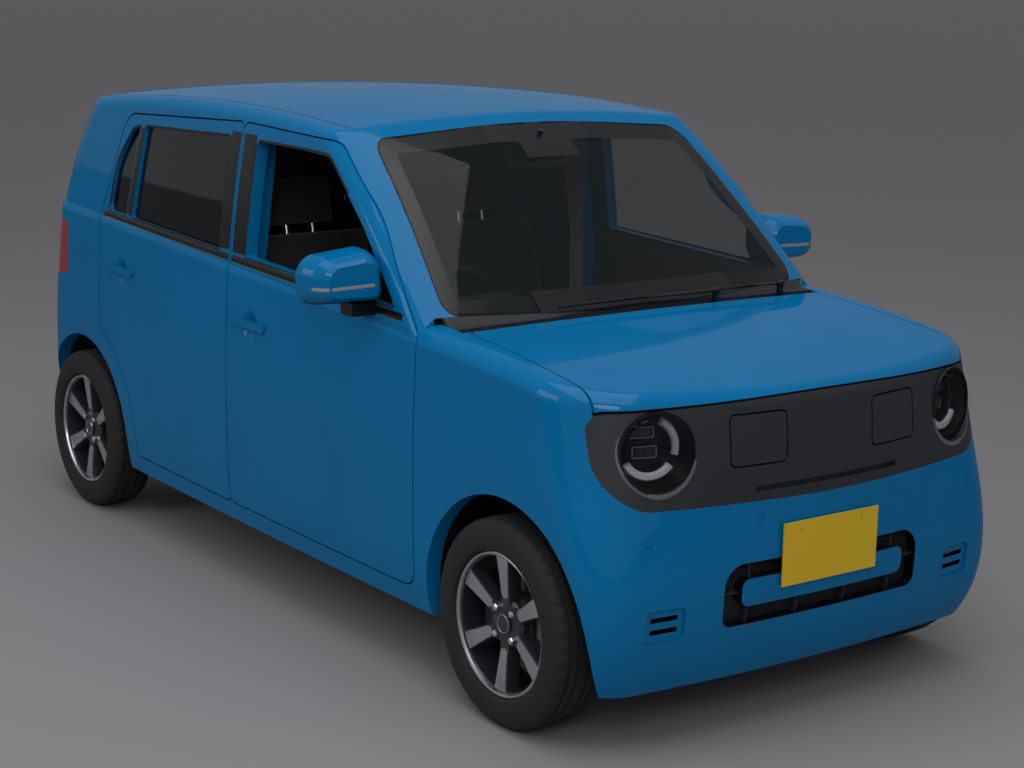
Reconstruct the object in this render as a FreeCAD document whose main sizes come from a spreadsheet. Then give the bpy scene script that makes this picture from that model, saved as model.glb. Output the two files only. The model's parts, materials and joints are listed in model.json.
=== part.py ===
import FreeCAD, Part
import math
import os
import Sketcher

# A five-door kei car.  Millimetres; +Z up, the nose towards -Y, the car's right side at -X.
# The origin is on the ground, in the middle of the car's length and width.

V = FreeCAD.Vector
doc = FreeCAD.newDocument("kei_car")

SIZES = [  # alias, value, what it is
    ("overall_length", 3395.0, "bumper to bumper"),
    ("overall_width", 1475.0, "over the wheel arches, without mirrors"),
    ("overall_height", 1510.0, "top of the roof"),
    ("wheelbase", 2520.0, "between the axles"),
    ("front_overhang", 450.0, "front axle to the foremost point"),
    ("track", 1305.0, "between the tyres' middles"),
    ("tyre_radius", 276.0, "tyre, and height of the axles"),
    ("tyre_width", 157.0, "widest part of the tyre"),
    ("rim_radius", 190.0, "over the rim's flange"),
    ("rim_width", 126.0, "over the rim's flanges"),
    ("nut_circle", 100.0, "wheel nuts' circle, diameter"),
    ("nut_count", 4.0, "wheel nuts"),
    ("spoke_count", 6.0, "wheel spokes"),
    ("arch_radius", 337.0, "wheel arch opening"),
    ("flare_radius", 408.0, "where the arch flare runs out"),
    ("panel_gap", 5.0, "between doors, lids and their frames"),
    ("wall", 66.0, "door and side wall"),
    ("frame_wall", 38.0, "window frame and pillar"),
    ("lid_wall", 24.0, "bonnet"),
    ("glass_wall", 4.5, "window glass"),
    ("ground_clearance", 145.0, "lowest point of the floor"),
    ("floor_top", 262.0, "cabin floor"),
    ("door_front_y", -858.0, "front door's leading gap"),
    ("pillar_y", 187.0, "gap between the side doors"),
    ("door_rear_y", 1132.0, "rear door's trailing gap"),
    ("lamp_x", 514.0, "headlamp, off centre"),
    ("lamp_z", 779.0, "headlamp's middle"),
    ("lamp_radius", 97.0, "headlamp lens"),
    ("plate_width", 330.0, "number plate"),
    ("plate_height", 165.0, "number plate"),
    ("plate_bolts", 210.0, "between the number plate's two bolts"),
    ("steering_radius", 178.0, "steering wheel rim"),
    ("column_x", -335.0, "steering column, off centre"),
]

sheet = doc.addObject("Spreadsheet::Sheet", "sizes")
for row, (alias, value, note) in enumerate(SIZES, start=1):
    sheet.set("A%d" % row, alias)
    sheet.set("B%d" % row, "%g" % value)
    sheet.set("C%d" % row, note)
    sheet.setAlias("B%d" % row, alias)
doc.recompute()


def size(alias):
    return float(sheet.get(alias))


length, width, height = size("overall_length"), size("overall_width"), size("overall_height")
front_end, rear_end, side = -length / 2, length / 2, width / 2
axle_front = front_end + size("front_overhang")
axle_rear = axle_front + size("wheelbase")
axle_z = size("tyre_radius")
gap, wall, frame_wall = size("panel_gap"), size("wall"), size("frame_wall")
floor_top, clearance = size("floor_top"), size("ground_clearance")
door_front, pillar, door_rear = size("door_front_y"), size("pillar_y"), size("door_rear_y")
lamp_x, lamp_z, lamp_r = size("lamp_x"), size("lamp_z"), size("lamp_radius")
pieces = []


def cell(alias, times=1.0, plus=0.0):
    """A length that follows a cell of the sheet: its value now and its expression."""
    return size(alias) * times + plus, "(sizes.%s * %g + %g)" % (alias, times, plus)


def number(value):
    return value[0] if isinstance(value, tuple) else value


def text(value):
    return value[1] if isinstance(value, tuple) else "(%g)" % value


def total(*values):
    return sum(number(v) for v in values), "(%s)" % " + ".join(text(v) for v in values)


def less(value, taken):
    return number(value) - number(taken), "(%s - %s)" % (text(value), text(taken))


def follow(thing, path, value):
    """Sets a property, and binds it to the sheet where the value is a cell's."""
    if not path.startswith("Constraints") and "." not in path:
        setattr(thing, path, number(value))
    if isinstance(value, tuple):
        thing.setExpression(path, value[1])


def place(thing, base, way=None):
    """Puts a thing at a point whose coordinates may follow the sheet, its Z along a direction."""
    turn = FreeCAD.Rotation(V(0, 0, 1), V(*way)) if way else FreeCAD.Rotation()
    thing.Placement = FreeCAD.Placement(V(*[number(b) for b in base]), turn)
    for axis, value in zip("xyz", base):
        follow(thing, "Placement.Base." + axis, value)
    return thing


def block(low, high, name="block"):
    """Part::Box between two corners."""
    thing = doc.addObject("Part::Box", name)
    for path, a, b in zip(("Length", "Width", "Height"), low, high):
        sized = isinstance(a, tuple) or isinstance(b, tuple)
        follow(thing, path, less(b, a) if sized else b - a)
    return place(thing, low)


def bar(radius, start, end, name="bar"):
    """Part::Cylinder between two points."""
    thing = doc.addObject("Part::Cylinder", name)
    way = V(*[number(e) for e in end]) - V(*[number(b) for b in start])
    thing.Radius = number(radius)
    thing.Height = way.Length
    follow(thing, "Radius", radius)
    return place(thing, start, tuple(way))


def fused(name, things):
    thing = doc.addObject("Part::MultiFuse", name)
    thing.Shapes = things
    thing.Refine = True
    return thing


def cut(name, base, tool):
    thing = doc.addObject("Part::Cut", name)
    thing.Base, thing.Tool, thing.Refine = base, tool, True
    return thing


def other_side(name, thing):
    """The thing's mirror image in the car's middle plane."""
    image = doc.addObject("Part::Mirroring", name)
    image.Source, image.Normal, image.Base = thing, V(1, 0, 0), V(0, 0, 0)
    return image


def pair(name, thing):
    both_sides = doc.addObject("Part::Compound", name)
    both_sides.Links = [thing, other_side(name + "_image", thing)]
    return both_sides


def profile(body, role, name, corners, offset=0.0):
    """Closed sketch on one of the body's origin planes, each corner held by its two distances."""
    sketch = body.newObject("Sketcher::SketchObject", name)
    sketch.AttachmentSupport = [(next(f for f in body.Origin.OriginFeatures if f.Role == role), "")]
    sketch.MapMode = "FlatFace"
    sketch.AttachmentOffset = FreeCAD.Placement(V(0, 0, number(offset)), FreeCAD.Rotation())
    points = [V(number(a), number(b), 0) for a, b in corners]
    for i, start in enumerate(points):
        sketch.addGeometry(Part.LineSegment(start, points[(i + 1) % len(points)]), False)
    for i, corner in enumerate(corners):
        sketch.addConstraint(Sketcher.Constraint("Coincident", i, 2, (i + 1) % len(points), 1))
        for kind, axis, value in (("DistanceX", -2, corner[0]), ("DistanceY", -1, corner[1])):
            if abs(number(value)) < 1e-9:
                sketch.addConstraint(Sketcher.Constraint("PointOnObject", i, 1, axis))
            else:
                index = sketch.addConstraint(Sketcher.Constraint(kind, i, 1, number(value)))
                follow(sketch, "Constraints[%d]" % index, value)
    return sketch


def revolved(body, name, corners):
    """Outline of (radius, along) turned about the body's Z axis."""
    feature = body.newObject("PartDesign::Revolution", name)
    feature.Profile = profile(body, "XZ_Plane", name + "_profile", corners)
    feature.ReferenceAxis = (feature.Profile[0], ["V_Axis"])
    feature.Angle = 360
    body.Tip = feature
    return feature


def padded(body, role, name, corners, low, high):
    """Outline raised between two heights over one of the body's origin planes."""
    feature = body.newObject("PartDesign::Pad", name)
    feature.Profile = profile(body, role, name + "_outline", corners, low)
    sized = isinstance(low, tuple) or isinstance(high, tuple)
    follow(feature, "Length", less(high, low) if sized else high - low)
    body.Tip = feature
    return feature


def polar(body, name, feature, count):
    """The feature repeated round its sketch's normal."""
    pattern = body.newObject("PartDesign::PolarPattern", name)
    pattern.Originals = [feature]
    pattern.Axis = (feature.Profile[0], ["N_Axis"])
    pattern.Angle = 360
    pattern.Occurrences = int(number(count))
    pattern.setExpression("Occurrences", text(count))
    body.Tip = pattern
    return pattern


def box(x0, x1, y0, y1, z0, z1):
    return Part.makeBox(x1 - x0, y1 - y0, z1 - z0, V(x0, y0, z0))


def rod(radius, start, end):
    start, end = V(*start), V(*end)
    return Part.makeCylinder(radius, (end - start).Length, start, end - start)


def mirrored(shape):
    return shape.mirror(V(0, 0, 0), V(1, 0, 0))


def joined(shapes):
    shapes = list(shapes)
    return shapes[0].multiFuse(shapes[1:]).removeSplitter() if len(shapes) > 1 else shapes[0]


def outline(corners, place):
    """Closed wire through corners (a, b, radius), each rounded; place(a, b) puts it in space."""
    n = len(corners)
    ends, arcs = [], []
    for i, (a, b, r) in enumerate(corners):
        pa, pb = corners[i - 1][:2]
        na, nb = corners[(i + 1) % n][:2]
        lp, ln = math.hypot(pa - a, pb - b), math.hypot(na - a, nb - b)
        up, un = ((pa - a) / lp, (pb - b) / lp), ((na - a) / ln, (nb - b) / ln)
        half = math.acos(max(-1.0, min(1.0, up[0] * un[0] + up[1] * un[1]))) / 2
        if r <= 0 or abs(half - math.pi / 2) < 1e-4:
            ends.append((place(a, b), place(a, b)))
            arcs.append(None)
            continue
        t = r / math.tan(half)
        p, q = (a + up[0] * t, b + up[1] * t), (a + un[0] * t, b + un[1] * t)
        m = (up[0] + un[0], up[1] + un[1])
        lm = math.hypot(*m)
        d = r / math.sin(half) - r
        mid = (a + m[0] / lm * d, b + m[1] / lm * d)
        ends.append((place(*p), place(*q)))
        arcs.append(Part.Arc(place(*p), place(*mid), place(*q)).toShape())
    edges = []
    for i in range(n):
        if arcs[i] is not None:
            edges.append(arcs[i])
        p, q = ends[i][1], ends[(i + 1) % n][0]
        if (q - p).Length > 1e-6:
            edges.append(Part.makeLine(p, q))
    return Part.Wire(edges)


def prism(corners, axis, low, high):
    """Outline (a, b, radius) extruded along x, y or z; a and b are the other two, in order."""
    place = {"x": lambda a, b: V(low, a, b), "y": lambda a, b: V(a, low, b),
             "z": lambda a, b: V(a, b, low)}[axis]
    way = {"x": V(1, 0, 0), "y": V(0, 1, 0), "z": V(0, 0, 1)}[axis]
    return Part.Face(outline(corners, place)).extrude(way * (high - low))


def turned(corners, centre, axis):
    """Solid of revolution of an outline of (radius, along, corner radius) about centre + axis."""
    face = Part.Face(outline(corners, lambda r, a: V(r, 0, a)))
    shape = face.revolve(V(0, 0, 0), V(0, 0, 1), 360)
    shape.Placement = FreeCAD.Placement(V(*centre), FreeCAD.Rotation(V(0, 0, 1), V(*axis)))
    return shape


def meet(c1, r1, c2, r2, sign):
    dx, dy = c2[0] - c1[0], c2[1] - c1[1]
    d = math.hypot(dx, dy)
    a = (r1 * r1 - r2 * r2 + d * d) / (2 * d)
    h = math.sqrt(max(0.0, r1 * r1 - a * a))
    return (c1[0] + a * dx / d - sign * h * dy / d, c1[1] + a * dy / d + sign * h * dx / d)


def towards(centre, radius, point):
    d = math.hypot(point[0] - centre[0], point[1] - centre[1])
    return (centre[0] + (point[0] - centre[0]) * radius / d,
            centre[1] + (point[1] - centre[1]) * radius / d)


def ring(z, y_front, crown_front, corner_front, half, corner_rear, crown_rear, y_rear):
    """Plan section of the body: eight tangent arcs at height z."""
    crown_side = 60000.0
    front, rear, flank = (0.0, y_front + crown_front), (0.0, y_rear - crown_rear), (half - crown_side, 0.0)
    kf = meet(front, crown_front - corner_front, flank, crown_side - corner_front, 1)
    if kf[1] > 0:
        kf = meet(front, crown_front - corner_front, flank, crown_side - corner_front, -1)
    kr = meet(rear, crown_rear - corner_rear, flank, crown_side - corner_rear, 1)
    if kr[1] < 0:
        kr = meet(rear, crown_rear - corner_rear, flank, crown_side - corner_rear, -1)
    f, s1 = towards(front, crown_front, kf), towards(flank, crown_side, kf)
    s2, r = towards(flank, crown_side, kr), towards(rear, crown_rear, kr)
    mf = towards(kf, corner_front, ((f[0] + s1[0]) / 2, (f[1] + s1[1]) / 2))
    mr = towards(kr, corner_rear, ((r[0] + s2[0]) / 2, (r[1] + s2[1]) / 2))
    ms = (half, 0.0)

    def arc(p, q, e):
        return Part.Arc(V(p[0], p[1], z), V(q[0], q[1], z), V(e[0], e[1], z)).toShape()

    def other(p):
        return (-p[0], p[1])

    return Part.Wire([
        arc(other(f), (0.0, y_front), f), arc(f, mf, s1), arc(s1, ms, s2), arc(s2, mr, r),
        arc(r, (0.0, y_rear), other(r)), arc(other(r), other(mr), other(s2)),
        arc(other(s2), other(ms), other(s1)), arc(other(s1), other(mf), other(f))])


# Both tables: height, then how far the front, side and rear lie inside the overall size, and
# the plan radii of the front, its corner, the rear's corner and the rear.
LOWER = [
    # z, front_in, side_in, front_r, front_corner, rear_corner, rear_r, rear_in
    (165, 66, 47, 5500, 120, 170, 3000, 58),
    (250, 32, 21, 5500, 115, 170, 3000, 18),
    (450, 9, 7, 4400, 130, 170, 3000, 0),
    (640, 12, 5, 2700, 190, 170, 2800, 4),
    (800, 18, 8, 1900, 230, 170, 2600, 14),
    (960, 43, 14, 1700, 245, 175, 2400, 30),
    (1120, 83, 25, 1600, 260, 180, 2400, 53),
]
UPPER = [
    (940, 707, 15, 3600, 95, 190, 2400, 8),
    (1060, 837, 28, 3600, 95, 190, 2400, 43),
    (1220, 1017, 47, 3600, 95, 195, 2300, 105),
    (1400, 1247, 75, 3600, 98, 200, 2200, 207),
    (1540, 1457, 99, 3600, 100, 200, 2200, 302),
]
HOOD = [(-1800, 872), (-1640, 908), (-1450, 938), (-1200, 967), (-948, 985), (-500, 1012),
        (0, 1034), (600, 1060), (1200, 1082), (1800, 1100)]
ROOF = [(-1100, 1372), (-365, 1480), (250, 1510), (1000, 1489), (1800, 1412)]
HOOD_R, ROOF_R = 30000.0, 6000.0


def loft(table, inset):
    rings = []
    for z, fi, si, fr, fc, rc, rr, ri in table:
        rings.append(ring(z, front_end + fi + inset, fr - inset, max(fc - inset, 25.0),
                          side - si - inset, max(rc - inset, 25.0), rr - inset, rear_end - ri - inset))
    return Part.makeLoft(rings, True, False)


def crowned(profile, radius, low, inset):
    """Solid below a profile (y, z) that is crowned across the car with the given radius."""
    top = max(z for y, z in profile)
    points = [V(0, y, z - inset) for y, z in profile]
    curve = Part.BSplineCurve()
    curve.interpolate(points)
    a, b = points[0], points[-1]
    face = Part.Face(Part.Wire([curve.toShape(), Part.makeLine(b, V(0, b.y, low)),
                                Part.makeLine(V(0, b.y, low), V(0, a.y, low)),
                                Part.makeLine(V(0, a.y, low), a)]))
    middle = V(0, 0, top - radius)
    turn = math.degrees(math.asin((side + 60) / radius))
    face.rotate(middle, V(0, 1, 0), -turn)
    return face.revolve(middle, V(0, 1, 0), 2 * turn)


def rim_edges(shape, least):
    top = max((f for f in shape.Faces if f.Area > least), key=lambda f: f.CenterOfMass.z)
    return top.Edges


def tub(inset, rounding=52.0):
    shape = loft(LOWER, inset).common(crowned(HOOD, HOOD_R, 100, inset))
    if rounding > inset:
        shape = shape.makeFillet(rounding - inset, rim_edges(shape, 5e5))
    return shape


def cab(inset, rounding=50.0):
    shape = loft(UPPER, inset).common(crowned(ROOF, ROOF_R, 300, inset))
    if rounding - inset > 20:
        shape = shape.makeFillet(rounding - inset, rim_edges(shape, 5e5))
    return shape


def flares():
    """Shallow rings that stand proud of the body round the wheel arches."""
    for y in (axle_front, axle_rear):
        cone = turned([(0, 0, 0), (size("flare_radius"), 0, 0), (size("arch_radius") + 14, 11.5, 0),
                       (0, 11.5, 0)], (side - 11.5, y, axle_z), (1, 0, 0))
        yield cone
        yield mirrored(cone)


skin_low, skin_high = tub(0), cab(0)
skin = skin_low.fuse(skin_high).multiFuse(list(flares())).removeSplitter()
inside_high = cab(frame_wall, 0)


def grown(corners, by):
    """The convex outline moved outwards by a distance (inwards if negative)."""
    n = len(corners)
    area = sum(corners[i][0] * corners[(i + 1) % n][1] - corners[(i + 1) % n][0] * corners[i][1]
               for i in range(n))
    turn = 1 if area > 0 else -1
    lines = []
    for i in range(n):
        (a0, b0, r0), (a1, b1, r1) = corners[i], corners[(i + 1) % n]
        d = math.hypot(a1 - a0, b1 - b0)
        na, nb = turn * (b1 - b0) / d, -turn * (a1 - a0) / d
        lines.append((na, nb, na * a0 + nb * b0 + by))
    out = []
    for i in range(n):
        (a, b, c), (d, e, f) = lines[i - 1], lines[i]
        det = a * e - b * d
        r = corners[i][2]
        out.append(((c * e - b * f) / det, (a * f - c * d) / det, max(r + by, 2.0) if r else 0))
    return out


door_side = {  # y, z, corner radius
    "front": [(door_front, floor_top, 60), (pillar + gap / 2, floor_top, 25), (pillar + gap / 2, 1440, 30),
              (-338, 1426, 110), (-600, 1231, 900), (door_front, 957, 40)],
    "rear": [(pillar - gap / 2, floor_top, 25), (door_rear, floor_top, 0), (door_rear, 1062, 60),
             (1000, 1404, 90), (pillar - gap / 2, 1440, 30)],
}
door_windows = {
    "front": [[(-748, 1010, 15), (90, 1040, 12), (90, 1392, 28), (-322, 1380, 75), (-541, 1213, 700)]],
    "rear": [[(262, 1045, 12), (893, 1066, 12), (852, 1372, 25), (262, 1392, 28)],
             [(937, 1068, 8), (1080, 1072, 28), (1042, 1232, 200), (958, 1347, 40), (893, 1368, 10)]],
}
screen = [(-634, 1004, 35), (0, 985, 8000), (634, 1004, 35), (556, 1428, 60), (0, 1466, 4000), (-556, 1428, 60)]
panel = [(-663, 640, 130), (0, 628, 8000), (663, 640, 130), (663, 872, 45), (0, 892, 8000), (-663, 872, 45)]
panel_clear = [(-668, 634, 130), (668, 634, 130), (668, 879, 45), (0, 897, 8000), (-668, 879, 45)]
grille = [(-338, 316, 28), (338, 316, 28), (338, 478, 62), (-338, 478, 62)]
tail = [(-592, 604, 50), (592, 604, 50), (602, 1010, 300), (540, 1520, 30), (-540, 1520, 30), (-602, 1010, 300)]
tail_window = [(-505, 1060, 70), (505, 1060, 70), (455, 1385, 75), (-455, 1385, 75)]
tail_y = 1405.0
lamp_rear = [(607, 790, 35), (716, 790, 35), (716, 1004, 35), (607, 1004, 35)]
bonnet_plan = [(-655, -1760, 0), (655, -1760, 0), (640, -1300, 3000), (628, -957, 30), (-628, -957, 30),
               (-640, -1300, 3000)]
bumper_line = [(-1760, 100, 0), (-1380, 100, 0), (-1380, 494, 0), (-1585, 723, 30), (-1640, 800, 0),
               (-1760, 800, 0)]
roof_x, roof_z, hood_z = 590.0, 1372.0, 1003.0
seam = 0.3
bumper_rear_y, bumper_rear_z = 1510.0, 602.0
cabin_front, cabin_rear = -800.0, rear_end - 70
cabin_x = side - 7 - wall
tub_wall = 45.0


def arch(y, inner, radius):
    return [rod(radius, (s * inner, y, axle_z), (s * (side + 40), y, axle_z)) for s in (1, -1)]


arches = arch(axle_front, 396, size("arch_radius")) + arch(axle_rear, 520, size("arch_radius"))
flare_zone = arch(axle_rear, 500, size("flare_radius") + 4)
far = 900.0
cabin = [prism([(-cabin_x, cabin_front, 0), (cabin_x, cabin_front, 0), (cabin_x, cabin_rear, 130),
                (-cabin_x, cabin_rear, 130)], "z", floor_top, 1001),
         inside_high.common(box(-far, far, -1200, 1800, 1000, 1600))]
door_holes = {name: prism(corners, "x", 500, far).cut(flare_zone[0]) for name, corners in door_side.items()}
footwell = box(0, cabin_x, -900, cabin_front + 1, 0, 1001)
door_solids = {name: prism(grown(corners, -gap), "x", 500, far).cut(
    [arch(axle_rear, 500, size("flare_radius") + 4 + gap)[0], footwell]) for name, corners in door_side.items()}
holes_both = list(door_holes.values()) + [mirrored(h) for h in door_holes.values()]
screen_hole = prism(screen, "y", -1200, -200)
tail_hole = prism(tail, "y", tail_y, 1800)
panel_hole = prism(panel, "y", -1800, -1400)
grille_hole = prism(grille, "y", -1800, -1500)
lamp_axis = V(math.sin(math.radians(16)), -math.cos(math.radians(16)), 0.05)
lamp_axis.normalize()
lamp_face = V(lamp_x, -1612, lamp_z)
bonnet_zone = prism(bonnet_plan, "z", 700, 1100)
bumper_front = prism(bumper_line, "x", -far, far)
bumper_back = box(-far, far, bumper_rear_y, 1800, 100, bumper_rear_z)

inner45, inner24 = tub(tub_wall), tub(size("lid_wall"))
inner30 = loft(LOWER, 30)
nose = skin_low.multiFuse(list(flares())).common(box(-far, far, -1800, door_front, 100, hood_z))


def around(shape, by=5.0):
    """Box round a shape, to keep the neighbours' surfaces short before they are cut."""
    b = shape.BoundBox
    return box(b.XMin - by, b.XMax + by, b.YMin - by, b.YMax + by, b.ZMin - by, b.ZMax + by)


def walled(block, *inner):
    """The block less whatever inner solids reach into it."""
    zone = around(block)
    return block.cut([i.common(zone) for i in inner])


def biggest(shape):
    return max(shape.Solids, key=lambda s: s.Volume)


def keep(name, thing):
    """Registers a finished object of the document as the sub-part of that name."""
    doc.recompute()
    thing.Label = name
    pieces.append(thing)
    return thing


def piece(name, shape):
    solids = [s for s in shape.Solids if s.Volume > 400]
    if not solids:
        raise ValueError(name + " is empty")
    shape = solids[0] if len(solids) == 1 else Part.makeCompound(solids)
    feature = doc.addObject("Part::Feature", name)
    feature.Label = name
    feature.Shape = shape
    pieces.append(feature)
    return shape


side_left = skin.common(box(0, far, door_front, 1800, 100, 1600)).fuse(
    skin.common(box(0, far, -1200, door_front, hood_z, 1600)))
side_left = side_left.cut([
    box(-1, cabin_x, door_front - 1, cabin_rear - 131, 90, 1001),
    box(-1, roof_x, cabin_rear - 132, 1800, 90, bumper_rear_z + 2),
    box(-1, 640, cabin_rear - 132, 1560, 90, 262),
    box(-1, roof_x, -1200, 1800, roof_z, 1600),
    box(-1, 470, -1200, -700, 900, 1100),
    box(-1, 640, door_front - 1, -700, 900, hood_z),
    box(500, far, axle_front, axle_rear, 90, 205)])
side_left = side_left.cut([door_holes["front"], door_holes["rear"], screen_hole, tail_hole])
side_left = side_left.cut([bumper_back, prism(lamp_rear, "y", 1400, 1800)] + arches)
post = prism([(612, floor_top, 0), (659, floor_top, 0), (659, 1000, 0), (600, 1500, 0), (553, 1500, 0),
              (612, 1000, 0)], "y", pillar - 37, pillar + 37)
post = joined([post.common(c) for c in cabin]).cut(box(0, roof_x, -far, far, roof_z, 1600))
pin_r = gap / 2 - 0.3
leaves = [box(650, cabin_x - 0.3, pillar + 8, pillar + 34, z, z + 45) for z in (440, 700)]
side_left = biggest(walled(side_left, *cabin).multiFuse([post] + leaves))
piece("body_side_left", side_left)
piece("body_side_right", mirrored(side_left))
roof = skin.common(box(-roof_x + seam, roof_x - seam, -1200, 1800, roof_z + seam, 1600)).cut(
    [screen_hole, tail_hole] + holes_both)
roof = biggest(walled(roof, cabin[1]))
for s in (1, -1):
    roof = roof.fuse([rod(pin_r, (s * 90, tail_y + gap / 2, 1450), (s * 140, tail_y + gap / 2, 1450)),
                      box(*sorted((s * 90, s * 140)), tail_y - 1, tail_y + gap / 2, 1440, 1450)])
piece("roof", roof)

fender = nose.common(box(0, far, -1800, door_front, 205, 1100)).cut(
    [bonnet_zone, bumper_front, panel_hole, box(-1, 640, -960, door_front + 1, 100, 1100)])
fender = biggest(walled(fender.cut(arches), inner45))
piece("front_fenders", Part.makeCompound([fender, mirrored(fender)]))
bonnet = skin_low.common(prism(grown(bonnet_plan, -gap), "z", 790, 1100)).cut(
    inner24.common(box(-far, far, -1900, door_front + 40, 690, 1200)))
bonnet = biggest(bonnet.cut(prism(panel_clear, "y", -1800, -1400)))
tabs = [box(*sorted((s * 280, s * 300)), -966, -952 - pin_r - 0.3, 967, 975.5) for s in (1, -1)]
piece("bonnet", bonnet.fuse(tabs))

nose_bar = prism([(-282, 364, 24), (282, 364, 24), (282, 436, 24), (-282, 436, 24)], "y", -1800, -1500)
struts = [box(s * 90 - 25, s * 90 + 25, -1800, -1600, 426, 490) for s in (1, -1)]
vent_x, vent_low, vent_high = 511, 308, 394
vents = [prism([(s * vent_x - 58, vent_low, 14), (s * vent_x + 58, vent_low, 14), (s * vent_x + 58, vent_high, 14),
                (s * vent_x - 58, vent_high, 14)], "y", -1800, -1500) for s in (1, -1)]
vent_slots = [box(s * vent_x - 40, s * vent_x + 40, -1800, -1500, z, z + 13) for s in (1, -1) for z in (331, 362)]
bumper = walled(nose.common(bumper_front).cut([panel_hole, grille_hole] + arches), inner45)
shallow, deep = loft(LOWER, 7), loft(LOWER, 34)
bumper = bumper.cut([walled(skin_low.common(v), shallow) for v in vents] + vent_slots)
bumper = bumper.fuse([walled(skin_low.common(nose_bar), inner30)]
                     + [walled(shallow.common(t), inner30) for t in struts])
piece("front_bumper", biggest(bumper))

lid_half = [(146, 722, 18), (321, 722, 18), (321, 856, 18), (146, 856, 18)]
lids = {1: lid_half, -1: [(-a, b, r) for a, b, r in reversed(lid_half)]}
lamp_holes = [rod(lamp_r + 3.5, lamp_face - lamp_axis * 250, lamp_face + lamp_axis * 60)]
lamp_holes.append(mirrored(lamp_holes[0]))
front_panel = skin_low.common(box(-far, far, -1800, -1400, 600, 920)).cut(
    inner30.common(box(-far, far, -1900, -1390, 590, 930)))
front_panel = front_panel.common(panel_hole).cut(
    lamp_holes + [prism(lids[s], "y", -1800, -1400) for s in (1, -1)])
air_slot = skin_low.common(box(-245, 245, -1800, -1500, 657, 671))
front_panel = front_panel.cut(walled(air_slot, loft(LOWER, 14)))
pocket, under_lid = [], loft(LOWER, 10.3)
for s in (1, -1):
    x = s * 233.5
    outer = box(x - 97, x + 97, -1665, -1585, 712, 866)
    hollow = box(x - 87.5, x + 87.5, -1700, -1590, 722, 856)
    inlet = rod(36 if s > 0 else 31, (x, -1590, 789), (x, -1608, 789))
    pocket.append(outer.cut(hollow).common(inner30).fuse(inlet))
    pocket += [under_lid.common(box(*sorted((s * 305, s * 322)), -1660, -1600, z, z + 20)) for z in (738, 820)]
piece("front_panel", biggest(front_panel.multiFuse(pocket)))
for s, name in ((1, "left"), (-1, "right")):
    lid = walled(skin_low.common(prism(grown(lids[s], -gap), "y", -1800, -1400)), loft(LOWER, 10))
    piece("charge_lid_" + name, lid)

mesh = walled(deep.common(grille_hole), loft(LOWER, 42))
bars = [box(x - 2.5, x + 2.5, -1800, -1500, z0, z1) for x in (-250, 250) for z0, z1 in ((434, 480), (315, 366))]
bars += [box(x - 2.5, x + 2.5, -1800, -1500, 315, 366) for x in (-84, 84)]
bars += [box(s * 310 - 30, s * 310 + 30, -1800, -1500, 398, 403) for s in (1, -1)]
bars = walled(loft(LOWER, 14).common(grille_hole).cut(nose_bar).common(joined(bars)), deep)
piece("lower_grille", mesh.fuse(bars))

lens_wall, dome_r = 3.5, 620.0
cup = doc.addObject("PartDesign::Body", "lamp_cup")
revolved(cup, "shell", [(0, -150), (cell("lamp_radius", 1, lens_wall), -150), (cell("lamp_radius", 1, lens_wall), 0),
                        (cell("lamp_radius"), 0), (cell("lamp_radius"), -144), (0, -144)])
cup.Placement = FreeCAD.Placement(lamp_face, FreeCAD.Rotation(V(0, 0, 1), lamp_axis))
trimmed = cut("lamp_cup_trimmed", cup, block((0, -1450, 500), (far, -1300, 1100), "behind_lamp"))
keep("headlamps", pair("headlamp_pair", trimmed))
back = lamp_face - lamp_axis * (math.sqrt(dome_r ** 2 - lamp_r ** 2) + lens_wall)
domes = []
for label, radius in (("dome_outer", dome_r), ("dome_inner", dome_r - lens_wall)):
    ball = doc.addObject("Part::Sphere", label)
    ball.Radius = radius
    domes.append(place(ball, tuple(back)))
dome = doc.addObject("Part::Common", "dome")
dome.Base = domes[0]
dome.Tool = bar(cell("lamp_radius"), tuple(lamp_face - lamp_axis * 20), tuple(lamp_face + lamp_axis * 60), "lens_edge")
keep("headlamp_lenses", pair("headlamp_lens_pair", cut("lens", dome, domes[1])))

plate_wall, plate_low, bolt_drop = 4.0, 402.0, 24.0
half_plate = cell("plate_width", 0.5)
plate = block((cell("plate_width", -0.5), cell("overall_length", -0.5), plate_low),
              (half_plate, cell("overall_length", -0.5, plate_wall), cell("plate_height", 1, plate_low)), "plate")
bracket = block((-120, cell("overall_length", -0.5, plate_wall), plate_low + 20),
                (120, cell("overall_length", -0.5, 30), plate_low + 120), "plate_bracket")
bolts = [bar(3.5, (cell("plate_bolts", 0.5 * s), -1720, cell("plate_height", 1, plate_low - bolt_drop)),
             (s * size("plate_bolts") / 2, -1680, plate_low + size("plate_height") - bolt_drop), "bolt_hole") for s in (1, -1)]
nose_tool = doc.addObject("Part::Feature", "nose_behind_plate")
nose_tool.Shape = skin_low.common(box(-200, 200, -1800, -1500, 390, 620)).fuse(box(-300, 300, -1690, -1500, 380, 480))
front_plate = cut("front_plate_cut", fused("front_plate_solid", [plate, bracket]),
                  fused("front_plate_holes", bolts + [nose_tool]))
keep("front_plate", front_plate)

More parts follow.
